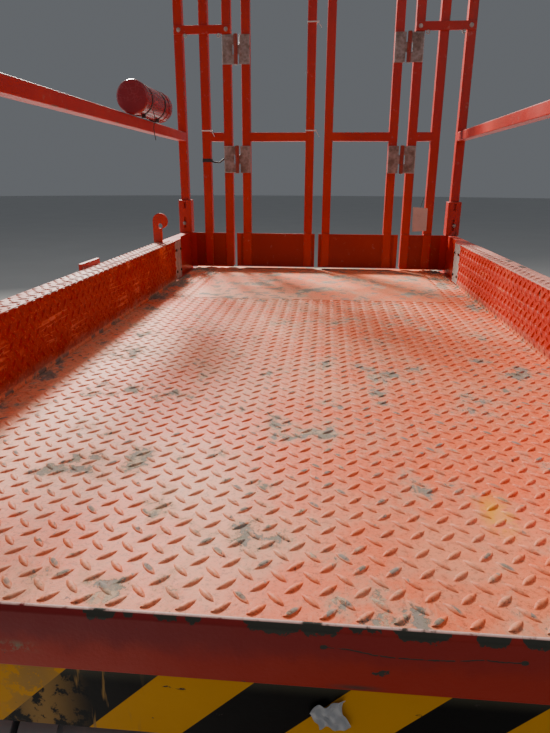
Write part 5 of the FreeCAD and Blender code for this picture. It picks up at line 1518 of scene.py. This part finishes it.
@dataclass
class ControlBox:
    """The platform's control box with its lever, stop button and switches on the slanting top."""

    low: Point = (0.435, -0.560, 2.1975)
    high: Point = (0.5647, -0.380, 2.3975)
    slant: float = 0.060

    def build(self) -> None:
        """Makes the box."""
        form = softened("control_box", "case", 0.004)
        up = Vector((-1.0, 0.0, 1.0)).normalized()
        along = Vector((1.0, 0.0, 1.0)).normalized()
        middle = Vector((self.low[0] + self.slant / 2, 0.0, self.high[2] - self.slant / 2))

        def spot(y: float, out: float, slide: float = 0.0) -> Point:
            """A point over the slanting panel."""
            place = middle + up * out + along * slide
            return (place.x, y, place.z)

        near, far = self.low[1], self.high[1]
        lever, stop, row = far - 0.042, near + 0.036, -0.015
        form.rod(spot(lever, -0.001), spot(lever, 0.010), 0.020, "boot", 28, 0.003, 0.011)
        form.rod(spot(lever, 0.009), spot(lever, 0.036), 0.0080, "case", 22, 0.003, 0.0100)
        form.rod(spot(stop, -0.001), spot(stop, 0.004), 0.021, "signal_yellow", 32, 0.0015)
        form.rod(spot(stop, 0.003), spot(stop, 0.013), 0.009, "steel", 20)
        form.rod(spot(stop, 0.012), spot(stop, 0.024), 0.017, "signal_red", 32, 0.004, 0.0145)
        for step, lamp in enumerate(("signal_green", "signal_yellow", "signal_red")):
            y = near + (0.074, 0.094, 0.114)[step]
            form.rod(spot(y, -0.001, row), spot(y, 0.004, row), 0.0055, "steel", 6)
            end = spot(y, 0.018, row + 0.004 * (step - 1))
            form.rod(spot(y, 0.003, row), end, 0.0022, "steel", 12, 0.0008, 0.0032)
            form.rod(spot(y, -0.001, 0.016), spot(y, 0.003, 0.016), 0.0042, lamp, 18, 0.0012)
        inner = self.low[0]
        for y in (near + 0.016, far - 0.016):
            for z in (self.low[2] + 0.028, self.high[2] - self.slant - 0.012):
                form.bolt((inner, y, z), Vector((-1, 0, 0)), 0.0032, "steel")
        corner = (inner - 0.0008, near + 0.045, self.low[2] + 0.050)
        form.box(corner, (inner + 0.0005, far - 0.045, self.low[2] + 0.110), "paper", 0.0003, 1)
        form.piece("platform_controls", "platform", "grey_plastic", ["control_box"])


@dataclass
class ScissorStack:
    """The five stages of arms with their pin heads, the rollers and the lift cylinder."""

    stages: int = 5
    arm_pins: float = 2.014
    pitch: float = 0.145
    base_z: float = 0.430
    fixed_y: float = 1.004
    outer_x: float = 0.326
    arm_wide: float = 0.050

    @property
    def slope(self) -> float:
        """The stowed angle of an arm."""
        return math.asin(self.pitch / self.arm_pins)

    def build(self) -> None:
        """Makes the arms, brackets, tracks, rollers and cylinder."""
        for stage in range(1, self.stages + 1):
            self._outer(stage)
            self._inner(stage)
        for name in ("lower_tracks", "upper_tracks", "base_brackets", "top_brackets"):
            body = BODY_OF[name]
            form = softened(name, "chassis_red" if body == "chassis" else "red", 0.0015)
            form.piece(f"{name}_dressed", body, "red_paint", [name])
        dress_node("lower_rollers", "nylon")
        dress_node("upper_rollers", "nylon")
        form = softened("cylinder_barrel", "black", 0.002)
        form.piece("lift_barrel", "barrel", "black_paint", ["cylinder_barrel"])
        dress_node("cylinder_rod", "chrome")

    def _pin_head(self, form: Form, spot: Vector, side: float) -> None:
        """A pin's round retaining plate with a small hexagon on it."""
        x = side * spot.x
        face = x + side * 0.003
        form.rod((x, spot.y, spot.z), (face, spot.y, spot.z), 0.0165, "steel")
        form.rod((face, spot.y, spot.z), (x + side * 0.0055, spot.y, spot.z), 0.0035, "steel", 6, 0.0004)

    def _outer(self, stage: int) -> None:
        """One outer pair."""
        node = f"outer_arms_{stage}"
        form = softened(node, "grey", 0.005)
        form.piece(f"outer_pair_{stage}", f"outer_{stage}", "grey_paint", [node])

    def _inner(self, stage: int) -> None:
        """One inner pair with the heads of its pins."""
        node = f"inner_arms_{stage}"
        form = softened(node, "grey", 0.005)
        end = self.outer_x + self.arm_wide + 0.005
        for share in (0.0, 0.5, 1.0):
            if (stage == 1 and share == 1.0) or (stage == self.stages and share == 0.0):
                continue
            y = self.fixed_y - share * self.arm_pins * math.cos(self.slope)
            z = self.base_z + stage * self.pitch - share * self.pitch
            for side in SIDES:
                self._pin_head(form, Vector((end - 0.0002, y, z)), side)
        form.piece(f"inner_pair_{stage}", f"inner_{stage}", "grey_paint", [node])


@dataclass
class Chassis:
    """The frame with bumpers, axle, drive motors, trays, guards, ladder and tie-down lugs."""

    tray_outer: float = 0.578
    rung_foot: float = 0.345
    rung_pitch: float = 0.250
    nodes: tuple[tuple[str, str, float], ...] = (
        ("chassis_frame", "chassis_red", 0.004), ("bumper_near", "chassis_red", 0.002),
        ("bumper_far", "chassis_red", 0.005), ("front_axle", "black", 0.003),
        ("tie_down_lugs", "chassis_red", 0.002), ("ladder", "chassis_red", 0.003),
        ("pothole_guards", "chassis_red", 0.003), ("tray_outriggers", "chassis_red", 0.0015),
        ("platform_frame", "red", 0.004), ("drive_motors", "black", 0.003),
        ("knuckle_right", "black", 0.002), ("knuckle_left", "black", 0.002), ("steer_link", "black", 0.002),
        ("battery_pack", "black", 0.006), ("hydraulic_unit", "black", 0.006),
    )

    def build(self) -> None:
        """Makes each node's piece in its finish and with its edges' radius, and then the trays."""
        for node, name, radius in self.nodes:
            form = softened(node, name, radius)
            if node == "ladder":
                self._ladder_grip(form)
            if node == "bumper_far":
                self._bumper_trim(form)
            form.piece(f"{node}_dressed", BODY_OF[node], SLOT_OF[node], [node])
        for side, name in NAMED_SIDES:
            form = softened(f"tray_{name}", "chassis_red", 0.003)
            self._tray_front(form, side)
            form.piece(f"tray_{name}_dressed", f"tray_{name}", "red_paint", [f"tray_{name}"])

    def _ladder_grip(self, form: Form) -> None:
        """Small raised studs on the rungs."""
        low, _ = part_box("ladder")
        for rung in range(3):
            z = self.rung_foot + rung * self.rung_pitch
            for step in range(15):
                x, y = -0.168 + step * 0.024, low.y + 0.022
                form.rod((x, y, z - 0.0005), (x, y, z + 0.002), 0.0045, "chassis_red", 10, 0.0008)

    def _bumper_trim(self, form: Form) -> None:
        """Bolts along the far bumper."""
        _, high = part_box("bumper_far")
        for x in (-0.50, -0.30, 0.30, 0.50):
            form.bolt((x, high.y, 0.25), Vector((0, 1, 0)), 0.011, "steel")

    def _tray_front(self, form: Form, side: float) -> None:
        """Louvres, a latch and a pull handle on a tray's outer face."""
        face = side * self.tray_outer
        low, high = sorted((face - side * 0.0005, face + side * 0.0030))
        for column in (-0.36, 0.18):
            for row in range(5):
                z = 0.190 + row * 0.022
                form.box((low, column, z), (high, column + 0.16, z + 0.008), "chassis_red", 0.0014, 2)
        low, high = sorted((face, face + side * 0.0045))
        form.box((low, -0.560, 0.215), (high, -0.500, 0.275), "black", 0.0015)
        form.rod((face, -0.530, 0.245), (face + side * 0.006, -0.530, 0.245), 0.012, "steel", 24)


@dataclass
class Wheels:
    """Solid tyres with their tread blocks, and rims with nuts and hub caps."""

    centre_x: float = 0.513
    axle_y: float = 0.915
    radius: float = 0.203
    half: float = 0.0635

    def build(self) -> None:
        """Makes the four wheels."""
        for side, side_name in NAMED_SIDES:
            for end, end_name in ((-1.0, "near"), (1.0, "far")):
                self._wheel(side, end, f"{end_name}_{side_name}")

    def _wheel(self, side: float, axle: float, label: str) -> None:
        """One wheel, on the right or left and at the near or far axle."""
        centre = (side * self.centre_x, axle * self.axle_y, self.radius)
        tyre = softened(f"tyre_{label}", "tyre", 0.001)
        tyre.piece(f"solid_tyre_{label}", f"wheel_{label}", "tyre_rubber", [f"tyre_{label}"], sharp=30.0)
        rim = softened(f"rim_{label}", "rim", 0.001)
        face = centre[0] + side * (self.half - 0.030)
        out = Vector((side, 0, 0))
        for step in range(8):
            angle = math.tau * step / 8
            spot = (face, centre[1] + math.cos(angle) * 0.095, centre[2] + math.sin(angle) * 0.095)
            rim.bolt(spot, out, 0.0105, "steel")
        hub = centre[0] + side * (self.half - 0.008)
        start, end = (hub - side * 0.001, *centre[1:]), (hub + side * 0.006, *centre[1:])
        rim.rod(start, end, 0.040, "black", 36, 0.002, 0.034)
        rim.piece(f"wheel_rim_{label}", f"wheel_{label}", "rim_paint", [f"rim_{label}"], sharp=30.0)


@dataclass
class Studio:
    """The pale floor, the soft lights and the camera at the photograph's place."""

    eye: Point = (0.0377, -1.5307, 1.6873)
    focal_pixels: float = 571.5
    image_tall: float = 733.0
    pitch: float = math.radians(18.23)
    yaw: float = math.radians(4.85)
    roll: float = math.radians(-0.25)

    def build(self) -> None:
        """Makes the stage."""
        self._camera()
        self._floor()
        self._light("far_key", (-2.3, 4.4, 5.0), (0.0, 0.1, 1.4), 1.0, 950.0, (1.0, 0.94, 0.86))
        self._light("high_fill", (-1.5, 2.5, 15.0), (0.0, 0.0, 8.0), 3.0, 380.0, (1.0, 0.96, 0.90))
        self._light("near_fill", (1.6, -5.0, 4.2), (0.0, 0.0, 1.0), 3.5, 16.0, (0.90, 0.95, 1.0))
        self._light("side_fill", (-5.0, -1.5, 3.2), (0.0, 0.0, 1.0), 3.0, 20.0, (0.95, 0.97, 1.0))
        self._light("right_fill", (5.0, 0.8, 3.6), (0.0, 0.0, 1.0), 3.0, 20.0, (1.0, 0.97, 0.93))
        world = bpy.data.worlds.new("studio_world")
        bpy.context.scene.world = world
        world.use_nodes = True
        back = world.node_tree.nodes["Background"]
        back.inputs["Color"].default_value = (0.80, 0.85, 0.92, 1.0)
        back.inputs["Strength"].default_value = 0.16

    def _camera(self) -> None:
        """Puts the camera at the photograph's viewing angle."""
        flat, down = math.cos(self.pitch), -math.sin(self.pitch)
        forward = Vector((-math.sin(self.yaw) * flat, math.cos(self.yaw) * flat, down))
        level = Vector((math.cos(self.yaw), math.sin(self.yaw), 0.0))
        upright = level.cross(forward)
        right = level * math.cos(self.roll) - upright * math.sin(self.roll)
        up = upright * math.cos(self.roll) + level * math.sin(self.roll)
        data = bpy.data.cameras.new("photo_camera")
        data.sensor_width = 36.0
        data.lens = data.sensor_width * self.focal_pixels / self.image_tall
        data.clip_end = 200.0
        item = bpy.data.objects.new("photo_camera", data)
        turn = Matrix((right, up, -forward)).transposed().to_4x4()
        item.matrix_world = Matrix.Translation(self.eye) @ turn
        bpy.context.scene.collection.objects.link(item)
        bpy.context.scene.camera = item

    def _floor(self) -> None:
        """A wide pale floor."""
        mesh = bmesh.new()
        bmesh.ops.create_circle(mesh, cap_ends=True, segments=96, radius=60.0)
        data = bpy.data.meshes.new("floor")
        mesh.to_mesh(data)
        mesh.free()
        skin = Skin("pale_floor", 0.75)
        tone = skin.book.noise(skin.place, 0.8, 5.0)
        skin.set(Base_Color=skin.book.blend(tone, (0.60, 0.60, 0.59), (0.68, 0.68, 0.67)))
        data.materials.append(skin.material)
        item = bpy.data.objects.new("studio_floor", data)
        bpy.context.scene.collection.objects.link(item)

    def _light(
        self, name: str, spot: Point, target: Point, size: float, power: float, colour: Colour,
    ) -> None:
        """A square area light.

        Args:
            name: its name.
            spot: where it hangs.
            target: what it points at.
            size: its side.
            power: its power in watts.
            colour: its colour.
        """
        data = bpy.data.lights.new(name, "AREA")
        data.shape = "SQUARE"
        data.size = size
        data.energy = power
        data.color = colour
        item = bpy.data.objects.new(name, data)
        item.location = spot
        item.rotation_euler = (Vector(target) - Vector(spot)).to_track_quat("-Z", "Y").to_euler()
        bpy.context.scene.collection.objects.link(item)


def main() -> None:
    """Builds the lift's looks piece by piece."""
    logging.basicConfig(level=logging.INFO, format="%(name)s: %(message)s")
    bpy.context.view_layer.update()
    for part in (Studio, TreadPlate, NearEnd, Rails, Canister, ControlBox, ScissorStack, Chassis, Wheels):
        LOG.info("building %s", part.__name__)
        part().build()


if __name__ == "__main__":
    main()
